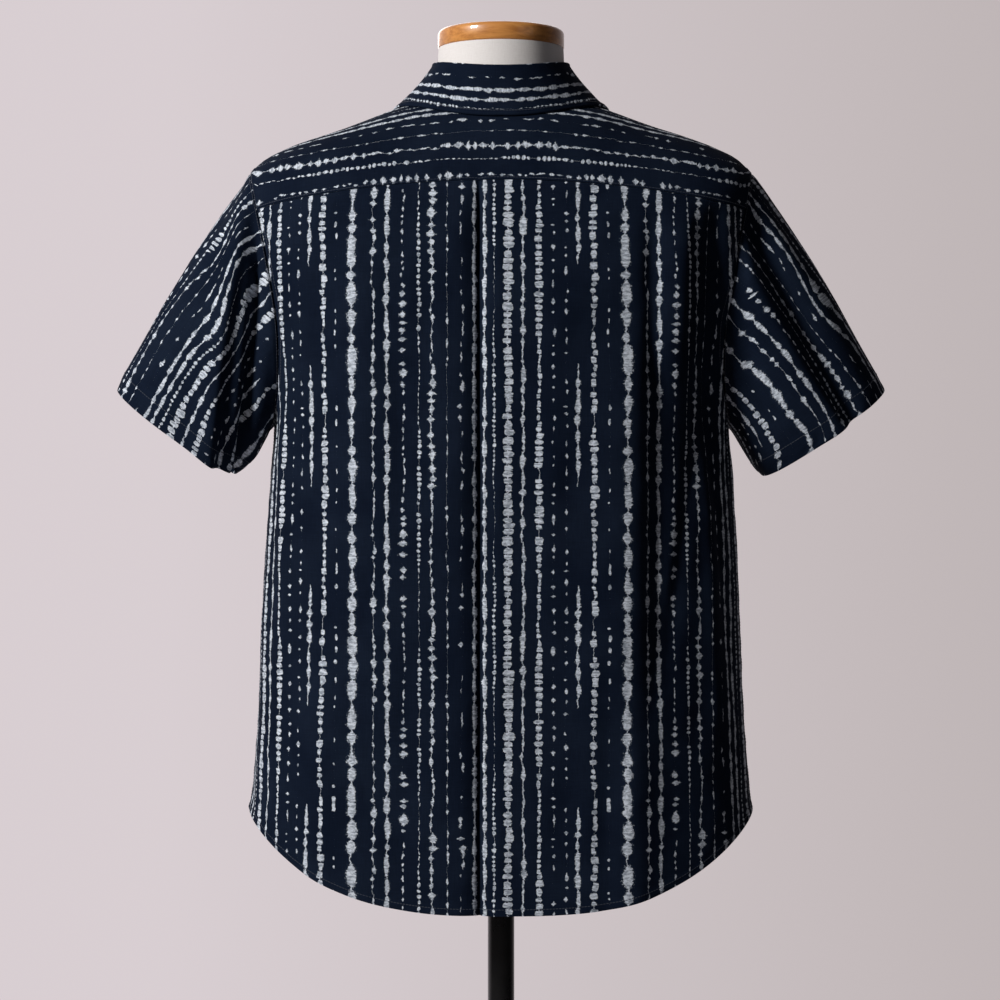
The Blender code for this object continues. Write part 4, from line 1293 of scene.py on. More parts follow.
@dataclass(frozen=True)
class YokeGrain:
    """The cloth's own coordinates on the yoke, whose stripes lie level.

    Across the stripes it is the distance from the back seam in the upright plane of one x, over
    the shoulder and down to the front seam. Along them it is the distance sideways up the
    shoulder's slope. spread draws the stripes nearer to each other.
    """

    seams: Seams
    shift: float = 0.0452
    start: float = 0.2360
    slope: float = 1.05
    spread: float = 0.83
    body: BodySurface = BODY

    def at(self, places: Array) -> Array:
        """Coordinates in metres for (angle, row) places."""
        rows, widths = np.linspace(0.0, 9.0, 700), np.linspace(0.0, 0.2440, 120)
        table = through(np.array(self.body.rings), rows)
        share = np.clip(widths[:, None] / table[None, :, 0], 0.0, 1.0) ** (1 / table[None, :, 6])
        lengths = []
        for side in (1.0, -1.0):
            angle = side * np.arccos(share)
            points = self.body.point(np.stack(np.broadcast_arrays(angle, rows[None]), axis=-1))
            step = np.linalg.norm(np.diff(points[..., 1:], axis=1), axis=-1) * (share[:, 1:] < 1)
            lengths.append(np.pad(np.cumsum(step, axis=1), ((0, 0), (1, 0))))
        seam = self.seams.yoke(np.linspace(0.0, 0.5, 200))
        seam_x = self.body.point(seam)[:, 0]
        x = np.abs(self.body.point(places)[..., 0])
        seam_row = np.interp(x, seam_x[::-1], seam[::-1, 1])
        wide = x / widths[-1] * (len(widths) - 1)
        scale = (len(rows) - 1) / rows[-1]
        behind = np.sin(places[..., 0]) >= 0
        here = [bilinear(length, wide, places[..., 1] * scale) for length in lengths]
        whole = bilinear(lengths[0], wide, seam_row * scale)
        across = whole - np.where(behind, here[0], -here[1])
        along = self.start - self.slope * self.body.point(places)[..., 0]
        return np.stack([across * self.spread + self.shift, along], axis=-1)


class Edge(NamedTuple):
    """What lies along a border: cloth turned in under it, the seam's groove and its pucker."""

    width: float
    height: float
    groove: float
    pucker: float


SEAM = Edge(0.0085, 0.0003, 0.0005, 0.0004)
OVERLAP = Edge(0.0085, 0.0005, 0.0, 0.0003)
HEM = Edge(0.0070, 0.0004, 0.0, 0.0007)
SLEEVE_HEM = Edge(0.0190, 0.0004, 0.0, 0.0005)
FREE = Edge(0.0085, 0.0, 0.0, 0.0)


@dataclass(frozen=True)
class Hang:
    """The small unevenness of a piece of cloth: its edges' sewing and its ripples.

    edges are top, low, left and right. ripple scales three sizes of soft noise, which run longer
    down the cloth than across it and die out at the seams.
    """

    edges: tuple[Edge, Edge, Edge, Edge]
    seed: int
    ripple: float = 1.0
    ring: bool = False

    def height(self, points: Array, uv: Array) -> Array:
        """How far to lift each point.

        Grooves and pucker are bells of the distance from the edge, and turned cloth is a smooth
        step of it.

        Args:
            points: the grid of points.
            uv: the cloth's own coordinates there.

        Returns:
            The lift in metres.
        """
        down, across = steps_along(points, 0), steps_along(points, 1)
        depths = (down, down[-1:] - down, across, across[:, -1:] - across)
        u, v = uv[..., 0], uv[..., 1]
        fade = np.ones_like(down)
        total = np.zeros_like(down)
        used = 2 if self.ring else 4
        for edge, depth in zip(self.edges[:used], depths[:used]):
            total += edge.height * (1 - rise(edge.width - 0.0006, edge.width + 0.0006, depth))
            total -= edge.groove * bump(depth, 0.0011)
            uneven = soft_noise(u + v, u - v, 0.011, 0.013, self.seed + 7)
            total += edge.pucker * uneven * bump(depth - 0.004, 0.008) * rise(0.0, 0.003, depth)
            fade = fade * rise(0.0, 0.016, depth)
        broad = 0.0016 * soft_noise(u, v, 0.047, 0.150, self.seed)
        middle = 0.0008 * soft_noise(u + 0.2 * v, v, 0.019, 0.046, self.seed + 1)
        small = 0.00016 * soft_noise(u, v + 0.3 * u, 0.0065, 0.0110, self.seed + 2)
        return total + fade * self.ripple * (broad + middle + small)


def body_shell(
    name: str,
    places: Array,
    uv: Array,
    hang: Hang,
    lift: float = 0.0,
    thickness: float = CLOTH_THICKNESS,
) -> Shell:
    """A shell on the body's surface, at (angle, row) places."""
    points = BODY.cloth(places, lift)
    normal = BODY.normal(places)
    return Shell(name, points + normal * hang.height(points, uv)[..., None], normal, uv, thickness)


@dataclass
class Workroom:
    """Puts finished pieces into the scene and keeps the shared sewing."""

    cloth: bpy.types.Material
    thread: bpy.types.Material

    def place(
        self,
        piece: bpy.types.Object,
        material: bpy.types.Material,
        slot: str,
        replaces: Sequence[str] = (),
    ) -> bpy.types.Object:
        """Gives a piece its material and body, hides the solids that it stands for, and reports it.
        """
        piece.data.materials.append(material)
        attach(piece, "root")
        if replaces:
            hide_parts(*replaces)
        LOG.info("%s: %d faces", piece.name, len(piece.data.polygons))
        return piece

    def sew(
        self,
        shell: Shell,
        node: str,
        lines: Sequence[tuple[Array, Array]],
    ) -> bpy.types.Object:
        """A sheet of cloth with its stitches.

        Args:
            shell: the cloth.
            node: the solid that it replaces.
            lines: lines of points and normals to stitch along.

        Returns:
            The sheet.
        """
        piece = self.place(shell.build(), self.cloth, "cloth", [node])
        extra = []
        if lines:
            stitches = Stitching().build(f"{shell.name}_stitches", lines)
            extra = [self.place(stitches, self.thread, "cloth")]
        width, length = shell.flat
        min(shell.area, 0.999 * width * length)
        return piece


@dataclass(frozen=True)
class Yoke:
    """The yoke: a strip from one front shoulder seam, round behind the neck, to the other."""

    seams: Seams
    arm_share: float = 7 / 38

    def shell(self) -> Shell:
        """The outer border runs down an armhole, along the back seam and up the other armhole."""
        s = np.union1d(shares(0.78, 0.0042), [self.arm_share, 1 - self.arm_share])
        t = shares(0.150, 0.0040)
        corner = self.seams.corner_turn()
        corner_angle = self.seams.armhole(np.array(corner))[0]
        turn_in = 0.9 * corner_angle
        half = np.clip(np.minimum(s, 1 - s) / self.arm_share, 0.0, 1.0)
        middle = np.clip((s - self.arm_share) / (1 - 2 * self.arm_share), 0.0, 1.0)
        arm = self.seams.armhole(SHOULDER_ARM_TURN + (corner - SHOULDER_ARM_TURN) * half)
        outer = np.where((half < 1)[:, None], arm, self.seams.yoke(middle))
        beside_arm = SHOULDER_NECK_ANGLE + (turn_in - SHOULDER_NECK_ANGLE) * half
        inner = np.where(half < 1, beside_arm, turn_in + (math.pi - 2 * turn_in) * middle)
        right = (half < 1) & (s > 0.5)
        outer = np.where(right[:, None], mirrored(outer), outer)
        inner = np.where(right, math.pi - inner, inner)
        top = np.stack([inner, np.zeros_like(inner)], axis=-1)
        sides = [top[k] + (outer[k] - top[k]) * t[:, None] for k in (0, -1)]
        places = patch(top, outer, *sides, s, t)
        grain = YokeGrain(self.seams)
        hang = Hang((FREE, OVERLAP, SEAM, SEAM), 11, 0.5)
        shell = body_shell("yoke_cloth", places, grain.at(places), hang)
        shell.spread = grain.spread
        return shell

    def build(self, room: Workroom) -> None:
        """The cloth with a row of stitches beside its outer seam."""
        shell = self.shell()
        lines = [shell.inset(border, YOKE_STITCH) for border in ("low", "left", "right")]
        room.sew(shell, "yoke", lines)


@dataclass(frozen=True)
class BackPanel:
    """The back, from the yoke seam to the hem, with its pleat."""

    seams: Seams
    arm_share: float = 8 / 20
    pleat_share: float = 0.4655

    def shell(self) -> Shell:
        """Its sides run down the armholes and then the side seams."""
        s = shares(0.66, 0.0042, at=self.pleat_share)
        t = np.union1d(shares(0.74, 0.0042), [self.arm_share])
        left = self.seams.border(self.seams.corner_turn(), math.pi, self.arm_share, t)
        places = patch(self.seams.yoke(s), self.seams.hem(math.pi * s), left, mirrored(left), s, t)
        uv = BodyGrain(BACK, YOKE_SEAM_Z, 0.142).at(places)
        return body_shell("back_cloth", places, uv, Hang((SEAM, HEM, SEAM, SEAM), 23))

    def build(self, room: Workroom) -> None:
        """The cloth with stitches at its hem and beside its armholes and side seams."""
        shell = self.shell()
        lines = [shell.inset("low", HEM_STITCH)]
        lines += [shell.inset(border, SIDE_STITCH) for border in ("left", "right")]
        room.sew(shell, "back", lines)


@dataclass(frozen=True)
class Fronts:
    """Both fronts and the buttonhole band over their lap."""

    seams: Seams
    arm_share: float = 9 / 21
    shoulder_share: float = 0.6
    band_left: float = 0.0180
    band_right: float = -0.0160
    left_lap: tuple[float, ...] = (0.0168, 0.0156, 0.0145)
    right_lap: tuple[float, ...] = (0.0120, 0.0080, 0.0040, 0.0, -0.0050, -0.0100, -0.0140)

    def edge_rows(self, t: Array) -> Array:
        """Rows down the front edge: level with the underarm at the armhole's share."""
        foot = self.seams.hem(np.array([FRONT]))[0, 1]
        on = (t - self.arm_share) / (1 - self.arm_share)
        lower = FRONT_LEVEL_ROW + (foot - FRONT_LEVEL_ROW) * on
        return np.where(t < self.arm_share, FRONT_LEVEL_ROW * t / self.arm_share, lower)

    def places(self, s: Array, t: Array, edge_x: float, extra: Sequence[float]) -> Array:
        """Places of a left front.

        Args:
            s, t: shares across, up to the band's edge, and down.
            edge_x: where the band's edge is.
            extra: x of more columns, past that edge.

        Returns:
            A grid of (angle, row) places.
        """
        rows = self.edge_rows(t)
        edge = np.stack([BODY.angle_at_x(edge_x, rows), rows], axis=-1)
        near = self.seams.shoulder(np.clip(s / self.shoulder_share, 0.0, 1.0))
        on = np.clip((s - self.shoulder_share) / (1 - self.shoulder_share), 0.0, 1.0)[:, None]
        neck = self.seams.shoulder(np.array(1.0))
        top = np.where(on > 0, neck + (edge[0] - neck) * on, near)
        left = self.seams.border(SHOULDER_ARM_TURN, -math.pi, self.arm_share, t)
        low = self.seams.hem(s * edge[-1, 0])
        edge[-1] = low[-1]
        rows = edge[:, 1]
        columns = [np.stack([BODY.angle_at_x(x, rows), rows], axis=-1)[:, None] for x in extra]
        return np.concatenate([patch(top, low, left, edge, s, t, reach=3.0), *columns], axis=1)

    def build(self, room: Workroom) -> None:
        """The wearer's right front, whose edge goes on under the left, the left, and the band."""
        t = np.union1d(shares(0.74, 0.0045), [self.arm_share])
        s = np.union1d(shares(0.34, 0.0045, last=False), [self.shoulder_share])
        left = self.places(s, t, self.band_left, self.left_lap)
        right = mirrored(self.places(s, t, -self.band_right, self.right_lap))
        hang = Hang((SEAM, HEM, SEAM, FREE), 37)
        for name, node, places, centre, shift in (
            ("front_left_cloth", "front_left", left, FRONT, 0.055),
            ("front_right_cloth", "front_right", right, 3 * math.pi / 2, 0.216),
        ):
            uv = BodyGrain(centre, YOKE_SEAM_Z, shift).at(places)
            shell = body_shell(name, places, uv, hang)
            lines = [shell.inset("low", HEM_STITCH), shell.inset("left", SIDE_STITCH)]
            room.sew(shell, node, lines)
        self.build_band(room, t)

    def build_band(self, room: Workroom, t: Array) -> None:
        """A strip of doubled cloth down the front, stitched beside both edges and at its hem."""
        rows = self.edge_rows(t)
        columns = np.linspace(self.band_right, self.band_left, 15)
        angles = [BODY.angle_at_x(float(x), rows) for x in columns]
        places = np.stack([np.stack([angle, rows], axis=-1) for angle in angles], axis=1)
        uv = BodyGrain(FRONT, YOKE_SEAM_Z, 0.1218).at(places)
        hang = Hang((FREE, HEM, FREE, FREE), 41, 0.3)
        shell = body_shell("band_cloth", places, uv, hang, WALL + LAP_GAP, DOUBLED_THICKNESS)
        lines = [shell.inset(border, EDGE_STITCH) for border in ("left", "right")]
        lines.append(shell.inset("low", HEM_STITCH))
        room.sew(shell, "front_band", lines)


class SleeveFold(NamedTuple):
    """A soft line along a sleeve.

    start and end are its angles round the sleeve at the armhole and at the mouth, in degrees, and
    bow is how far its middle lies off the straight way between them. left and right are its
    bell's widths in degrees, and first and last the shares of the sleeve where it begins and ends.
    """

    start: float
    end: float
    bow: float
    left: float
    right: float
    height: float
    first: float
    last: float


LEFT_FOLDS: tuple[SleeveFold, ...] = (
    SleeveFold(50, 128, 4, 17, 7, 0.0100, -0.4, 1.5),
    SleeveFold(67, 168, 12, 7, 21, -0.0125, -0.4, 1.25),
    SleeveFold(20, 36, 0, 11, 12, -0.0024, -0.1, 0.9),
    SleeveFold(-70, -95, 0, 15, 17, -0.0045, -0.1, 0.9),
)
RIGHT_FOLDS: tuple[SleeveFold, ...] = (
    SleeveFold(57, 72, 0, 12, 9, -0.0110, -0.4, 1.2),
    SleeveFold(76, 80, 7, 8, 18, 0.0080, -0.4, 1.5),
    SleeveFold(112, 122, 0, 14, 12, -0.0046, -0.1, 0.8),
    SleeveFold(-75, -90, 0, 17, 15, -0.0045, -0.1, 0.9),
    SleeveFold(30, 38, 0, 8, 9, -0.0012, -0.1, 0.6),
)


class Pull(NamedTuple):
    """How far the tucks draw the cloth round a sleeve, in metres, about a share and an angle."""

    share: float
    angle: float
    reach: float
    width: float
    amount: float


LEFT_PULLS: tuple[Pull, ...] = (
    Pull(0.10, 66, 0.15, 14, 0.0136),
    Pull(0.42, 86, 0.15, 15, -0.0150),
    Pull(0.26, 48, 0.15, 10, -0.0140),
    Pull(0.66, 32, 0.18, 12, 0.0093),
)
RIGHT_PULLS: tuple[Pull, ...] = (
    Pull(0.55, 46, 0.20, 14, 0.0155),
    Pull(0.14, 110, 0.20, 20, 0.0100),
    Pull(0.95, 110, 0.20, 18, -0.0104),
)


class SleeveChart(NamedTuple):
    """How the chart of stripes lies on a sleeve.

    shift moves it, way is 1 or -1 for its direction round the sleeve, and slant is how far it
    winds round for each metre along.
    """

    shift: tuple[float, float]
    way: float
    slant: float


@dataclass(frozen=True)
class Sleeve:
    """A short sleeve: rings from the armhole to the mouth, with its folds.

    Its sizes are the left one's, and side is -1 for the right.
    """

    node: str
    side: int
    folds: tuple[SleeveFold, ...]
    pulls: tuple[Pull, ...]
    seed: int
    seams: Seams
    chart: SleeveChart
    stripe_turn: float = math.radians(53.0)
    mouth_top: tuple[float, float] = (0.3745, 1.2485)
    mouth_low: tuple[float, float] = (0.2570, 1.1640)
    mouth_depth: float = 0.0560
    mouth_dip: float = 0.0060
    top_bulge: float = 0.0050
    side_bulge: float = 0.0060
    under_kick: float = 0.0060
    fold_rise: float = 0.35
    fold_fall: float = 0.30
    fold_free: float = 0.12
    head: float = 0.22

    def grid(self, share: Array, turns: Array) -> tuple[Array, Array]:
        """Straight lines from seam to mouth, plus swells of 4t(1-t) and folds.

        Args:
            share: shares of the way from the armhole to the mouth.
            turns: angles round the sleeve.

        Returns:
            A grid of points and their outward directions.
        """
        places = self.seams.armhole(turns)
        seam = BODY.cloth(places, LAP_GAP)
        top, low = np.array(self.mouth_top), np.array(self.mouth_low)
        half = float(np.linalg.norm(top - low)) / 2
        up = (top - low) / (2 * half)
        out = np.array([up[1], -up[0]])
        centre = (top + low) / 2
        cosine, sine = np.cos(turns)[:, None], np.sin(turns)[:, None]
        flat = centre + half * up * cosine + out * self.mouth_dip * np.abs(sine)
        mouth = np.concatenate([flat[:, :1], self.mouth_depth * sine, flat[:, 1:]], axis=1)
        share = share[:, None, None]
        swell = 4 * share * (1 - share)
        rising = self.top_bulge * up * cosine
        bulge = np.concatenate([rising[:, :1], self.side_bulge * sine, rising[:, 1:]], axis=1)
        kick = self.under_kick * (1 - share) * np.maximum(-cosine, 0.0)
        points = seam + (mouth - seam) * share + swell * (bulge + BODY.normal(places) * kick)
        normal = self.normal(points)
        height = np.zeros(points.shape[:2])
        share = share[..., 0]
        for fold in self.folds:
            bow = fold.bow * 4 * share * (1 - share)
            middle = np.radians(fold.start + (fold.end - fold.start) * share + bow)
            away = (turns - middle + math.pi) % (2 * math.pi) - math.pi
            width = np.where(away > 0, math.radians(fold.right), math.radians(fold.left))
            ends = rise(fold.first, fold.first + self.fold_rise, share)
            ends = ends * (1 - rise(fold.last - self.fold_fall, fold.last, share))
            height += fold.height * bump(away, width) * ends * rise(0.0, self.fold_free, share)
        return points + normal * height[..., None], normal

    @staticmethod
    def normal(points: Array) -> Array:
        """Outward directions of rings of points: the cross product of the steps along and round."""
        down = np.gradient(points, axis=0)
        round_way = np.roll(points, -1, axis=1) - np.roll(points, 1, axis=1)
        normal = unit(np.cross(down, round_way))
        away = points - points.mean(axis=1, keepdims=True)
        return normal * np.sign((normal * away).sum(axis=-1, keepdims=True))

    def pulled(self, share: Array, turns: Array) -> Array:
        """How far the cloth is drawn round at each share and angle: a sum of soft round humps."""
        total = np.zeros((len(share), len(turns)))
        for pull in self.pulls:
            along = bump(share[:, None] - pull.share, pull.reach)
            total += pull.amount * along * bump(np.degrees(turns)[None] - pull.angle, pull.width)
        return total

    def grain(self, points: Array, share: Array) -> Array:
        """Coordinates round and along the sleeve. The stripes wind round it by its slant.

        Beside the armhole they blend into the places that they have at the head's share, because
        the folds that set in there would bend them.
        """
        axis = np.array([math.cos(self.stripe_turn), 0.0, -math.sin(self.stripe_turn)])
        along = points @ axis
        across = points - along[..., None] * axis
        around = steps_along(across, 1)
        around = around - around[:, around.shape[1] // 2][:, None]
        own = rise(0.35 * self.head, self.head, share)[:, None]
        around = around * own + around[int((share < self.head).sum())] * (1 - own)
        across = around * self.chart.way + self.chart.slant * (along - along.min())
        return np.stack([across, along], axis=-1) + np.array(self.chart.shift)

    def shell(self) -> Shell:
        """The sleeve's cloth, with its own coordinates round and along it."""
        turns = np.linspace(-math.pi, math.pi, 240, endpoint=False)
        share = shares(0.150, 0.0038)
        points, normal = self.grid(share, turns)
        uv = self.grain(points, share)
        uv[..., 0] += self.pulled(share, turns)
        hang = Hang((SEAM, SLEEVE_HEM, FREE, FREE), self.seed, 0.8, ring=True)
        points = points + normal * hang.height(points, uv)[..., None]
        mirror = np.array([self.side, 1.0, 1.0])
        points, normal = points * mirror, normal * mirror
        name = f"{self.node}_cloth"
        return Shell(name, points, normal, uv, ring=True, slant=self.chart.slant)

    def build(self, room: Workroom) -> None:
        """The cloth with stitches at its hem and beside its seam."""
        shell = self.shell()
        lines = [shell.inset("low", 0.0180), shell.inset("top", 0.0020)]
        room.sew(shell, self.node, lines)


class FallStation(NamedTuple):
    """A place round the collar: the angle of its fold, and the angle and row of its lower edge."""

    fold: float
    edge: float
    row: float


FALL: tuple[FallStation, ...] = (
    FallStation(-79.3, -64.0, 2.02),
    FallStation(-66.0, -47.0, 1.66),
    FallStation(-40.0, -24.0, 1.26),
    FallStation(0.0, 4.0, 0.96),
    FallStation(45.0, 46.0, 0.62),
    FallStation(90.0, 90.0, 0.44),
)


@dataclass(frozen=True)
class Collar:
    """A collar stand round the neck and the fall that turns over it."""

    stations: tuple[FallStation, ...] = FALL
    stand_top: Ring = Ring(0.0662, 1.5635, 0.0690, 1.5530, -0.0745, 1.4840, 1.00)
    stand_end: float = -0.0120
    end_drop: float = 0.0060
    foot_lift: float = 0.0024
    crown: float = 0.0022
    near_x: float = 0.0120
    right_end: float = 0.0140
    fall_shares: tuple[float, ...] = (1.0, 0.85, 0.68, 0.5, 0.34, 0.18, 0.0)

    def stand_profile(self, angle: Array) -> tuple[Array, Array, Array]:
        """Foot and top of the stand's outer face, lapped at the front, and the level way out."""
        places = np.stack([angle, np.zeros_like(angle)], axis=-1)
        foot = BODY.point(places) + BODY.normal(places) * STAND_GAP
        top = ring_point(angle, self.stand_top)
        over = 1 - rise(math.radians(-80), math.radians(-50), angle)
        from_front = (angle - FRONT + math.pi) % (2 * math.pi) - math.pi
        front = rise(math.radians(-25), math.radians(-12), -np.abs(from_front))
        away = np.stack([np.cos(angle), np.sin(angle), np.zeros_like(angle)], axis=-1)
        lap = (over * (WALL + LAP_GAP))[:, None] * away
        foot, top = foot + lap, top + lap
        foot[:, 2] += self.foot_lift * front
        top[:, 2] -= self.end_drop * (1 - rise(math.radians(-101), math.radians(-93), angle))
        return foot, top, away

    def fall_places(self, count: int) -> tuple[Array, Array]:
        """The fold's angles from left front to right front, and the lower edge's places."""
        half = through(np.array(self.stations), np.linspace(0.0, len(self.stations) - 1.0, count))
        fold, edge, row = np.radians(half[:, 0]), np.radians(half[:, 1]), half[:, 2]
        angle = np.concatenate([fold, math.pi - fold[-2::-1]])
        ends = np.concatenate([edge, math.pi - edge[-2::-1]])
        return angle, np.stack([ends, np.concatenate([row, row[-2::-1]])], axis=-1)

    def stand(self) -> Shell:
        """The stand, whose left end laps over its right end at the front."""
        fall, _ = self.fall_places(80)
        zero = np.zeros(1)
        left, right = (
            np.concatenate([BODY.angle_at_x(float(x), zero) for x in np.linspace(start, end, 12)])
            for start, end in ((self.stand_end, self.near_x), (-self.near_x, self.right_end))
        )
        foot, top, away = self.stand_profile(np.concatenate([left, fall, right + 2 * math.pi]))
        share = shares(0.032, 0.0034)[:, None, None]
        outer = top + (foot - top) * share
        normal = np.broadcast_to(away, outer.shape)
        along = steps_along(outer, 1)
        uv = np.stack([0.160 + steps_along(outer, 0), along], axis=-1)
        return Shell("collar_stand_cloth", outer, normal, uv, DOUBLED_THICKNESS)

    def fall(self) -> Shell:
        """The fall: up a quadratic curve from its lower edge, and over the stand's top."""
        angle, places = self.fall_places(80)
        _, top, away = self.stand_profile(angle)
        up = np.array([0.0, 0.0, 1.0])
        edge = BODY.cloth(places, LAP_GAP + WALL + 0.0006)
        start = top + away * (LAP_GAP + WALL + 0.0004) - up * 0.0010
        bend = start + (edge - start) * 0.55 - up * 0.0040 - away * 0.0010
        rows = [
            (1 - k) ** 2 * start + 2 * k * (1 - k) * bend + k**2 * edge for k in self.fall_shares
        ]
        over = ((0.0012, self.crown), (-0.0004, self.crown + 0.0002), (-WALL, 0.0012))
        rows += [top + away * out + up * lift for out, lift in over]
        levels = shares(1.0, 0.02, first=False, last=False) * (len(rows) - 1.0)
        outer = through(np.array(rows), np.union1d(levels, np.linspace(6.0, 9.0, 22)))
        normal = unit(np.cross(np.gradient(outer, axis=1), np.gradient(outer, axis=0)))
        normal *= np.sign((normal[:8] * (away + up)).sum())
        depth = steps_along(outer, 0)
        fold = depth[np.argmax(outer[:, :, 2], axis=0), np.arange(outer.shape[1])]
        along = steps_along(outer, 1)
        middle = along[:, outer.shape[1] // 2][:, None]
        uv = np.stack([0.091 + fold - depth, 0.108 + along - middle], axis=-1)
        hang = Hang((SEAM, FREE, SEAM, SEAM), 53, 0.25)
        lift = hang.height(outer, uv) * rise(0.0, 0.0030, fold - depth)
        outer = outer + normal * lift[..., None]
        return Shell("collar_cloth", outer, normal, uv, DOUBLED_THICKNESS)

    def build(self, room: Workroom) -> None:
        """The stand and the fall, stitched beside the edge."""
        room.sew(self.stand(), "collar_stand", [])
        shell = self.fall()
        lines = [shell.inset(border, EDGE_STITCH) for border in ("top", "left", "right")]
        room.sew(shell, "collar", lines)


# Radii in millimetres of the button's flat middle, then shares of its radius and height
BUTTON_DISH = (0.1, 0.5, 0.8, 1.0, 1.2, 1.4, 1.6, 1.8, 2.0, 2.2, 2.5, 2.9, 3.3)
BUTTON_RIM = ((0.66, 0.80), (0.74, 0.96), (0.82, 1.0), (0.90, 0.97), (0.97, 0.86))
BUTTON_FOOT = ((1.0, 0.68), (1.0, 0.40), (0.96, 0.2), (0.88, 0.04), (0.80, 0.0))


@dataclass(frozen=True)
class Buttons:
    """Four-hole buttons with their threads, and the buttonholes under them."""

    collar: Collar
    material: bpy.types.Material
    radius: float = 0.00575
    height: float = 0.0024
    lift: float = 0.0002
    count: int = 6
    first: float = 1.392
    pitch: float = 0.0920
    hole_at: float = 0.00115
    hole_radius: float = 0.00062
    hole_depth: float = 0.0011
    dish: float = 0.72

    def rings(self) -> Array:
        """The button from its top's middle, over a rounded rim, to its foot, with four pits."""
        dish = [(radius * MILLIMETRE, self.dish * self.height) for radius in BUTTON_DISH]
        rim = [(x * self.radius, z * self.height) for x, z in (*BUTTON_RIM, *BUTTON_FOOT)]
        profile = np.array([*dish, *rim, (0.0001, 0.0)])
        angle = full_turn(48)
        x, y = profile[:, :1] * np.cos(angle), profile[:, :1] * np.sin(angle)
        z = np.broadcast_to(profile[:, 1:], x.shape).copy()
        away = np.hypot(np.abs(x) - self.hole_at, np.abs(y) - self.hole_at) / self.hole_radius
        z[: len(dish)] -= self.hole_depth * (1 - rise(0.7, 1.15, away))[: len(dish)]
        return np.stack([x, y, z], axis=-1)

    def threads(self) -> list[Array]:
        """Two pairs of strands between the holes."""
        level = self.dish * self.height + 0.0001
        across = np.linspace(-self.hole_at, self.hole_at, 12)
        dome = level + 0.0003 * (1 - (across / self.hole_at) ** 4)
        found = []
        for shift in (-0.0002, 0.0002):
            for at in (-self.hole_at, self.hole_at):
                found.append(np.stack([across, np.full_like(across, at + shift), dome], axis=-1))
        return found

    def places(self) -> list[tuple[str, Array, Array]]:
        """Each button's node, foot and facing."""
        found = []
        lift = LAP_GAP + WALL + self.lift
        for index in range(self.count):
            height = self.first - self.pitch * index
            row = BODY.row_at(np.array([FRONT]), level(height))
            place = np.array([[FRONT, row[0]]])
            foot = BODY.cloth(place, lift)[0]
            found.append((f"button_{index + 1}", foot, BODY.normal(place)[0]))
        foot, top, _ = self.collar.stand_profile(np.array([FRONT]))
        rising = top[0] - foot[0]
        out = unit(np.array([0.0, -rising[2], rising[1]]))
        found.append(("button_collar", foot[0] + rising * 0.42 + out * self.lift, out))
        return found

    def build(self, room: Workroom) -> None:
        """Every button, their threads as one piece, and a worked buttonhole round each."""
        strands, holes = [], []
        for node, foot, out in self.places():
            across = np.array([1.0, 0.0, 0.0])
            axes = np.stack([across, unit(np.cross(out, across)), out])
            button = loft(f"{node}_resin", self.rings() @ axes + foot)
            room.place(button, self.material, "button", [node])
            for line in self.threads():
                strands.append((line @ axes + foot, np.broadcast_to(out, line.shape)))
            holes.append(self.buttonhole(foot - out * self.lift, axes))
        sewn = Stitching(0.0005, 0.0009, 0.00016, 0.00016).build("button_threads", strands)
        room.place(sewn, room.thread, "button")
        worked = Stitching(0.0006, 0.0011, 0.00055, 0.00025).build("buttonholes", holes)
        room.place(worked, room.thread, "cloth")

    def buttonhole(self, foot: Array, axes: Array) -> tuple[Array, Array]:
        """A long loop round the slit, upright on the band."""
        turn = np.linspace(0.0, 2 * math.pi, 90)
        across = np.sign(np.cos(turn)) * np.abs(np.cos(turn)) ** 0.4
        flat = np.stack([0.0012 * across, 0.0078 * np.sin(turn), np.zeros_like(turn)], axis=-1)
        return flat @ axes + foot, np.broadcast_to(axes[2], flat.shape)


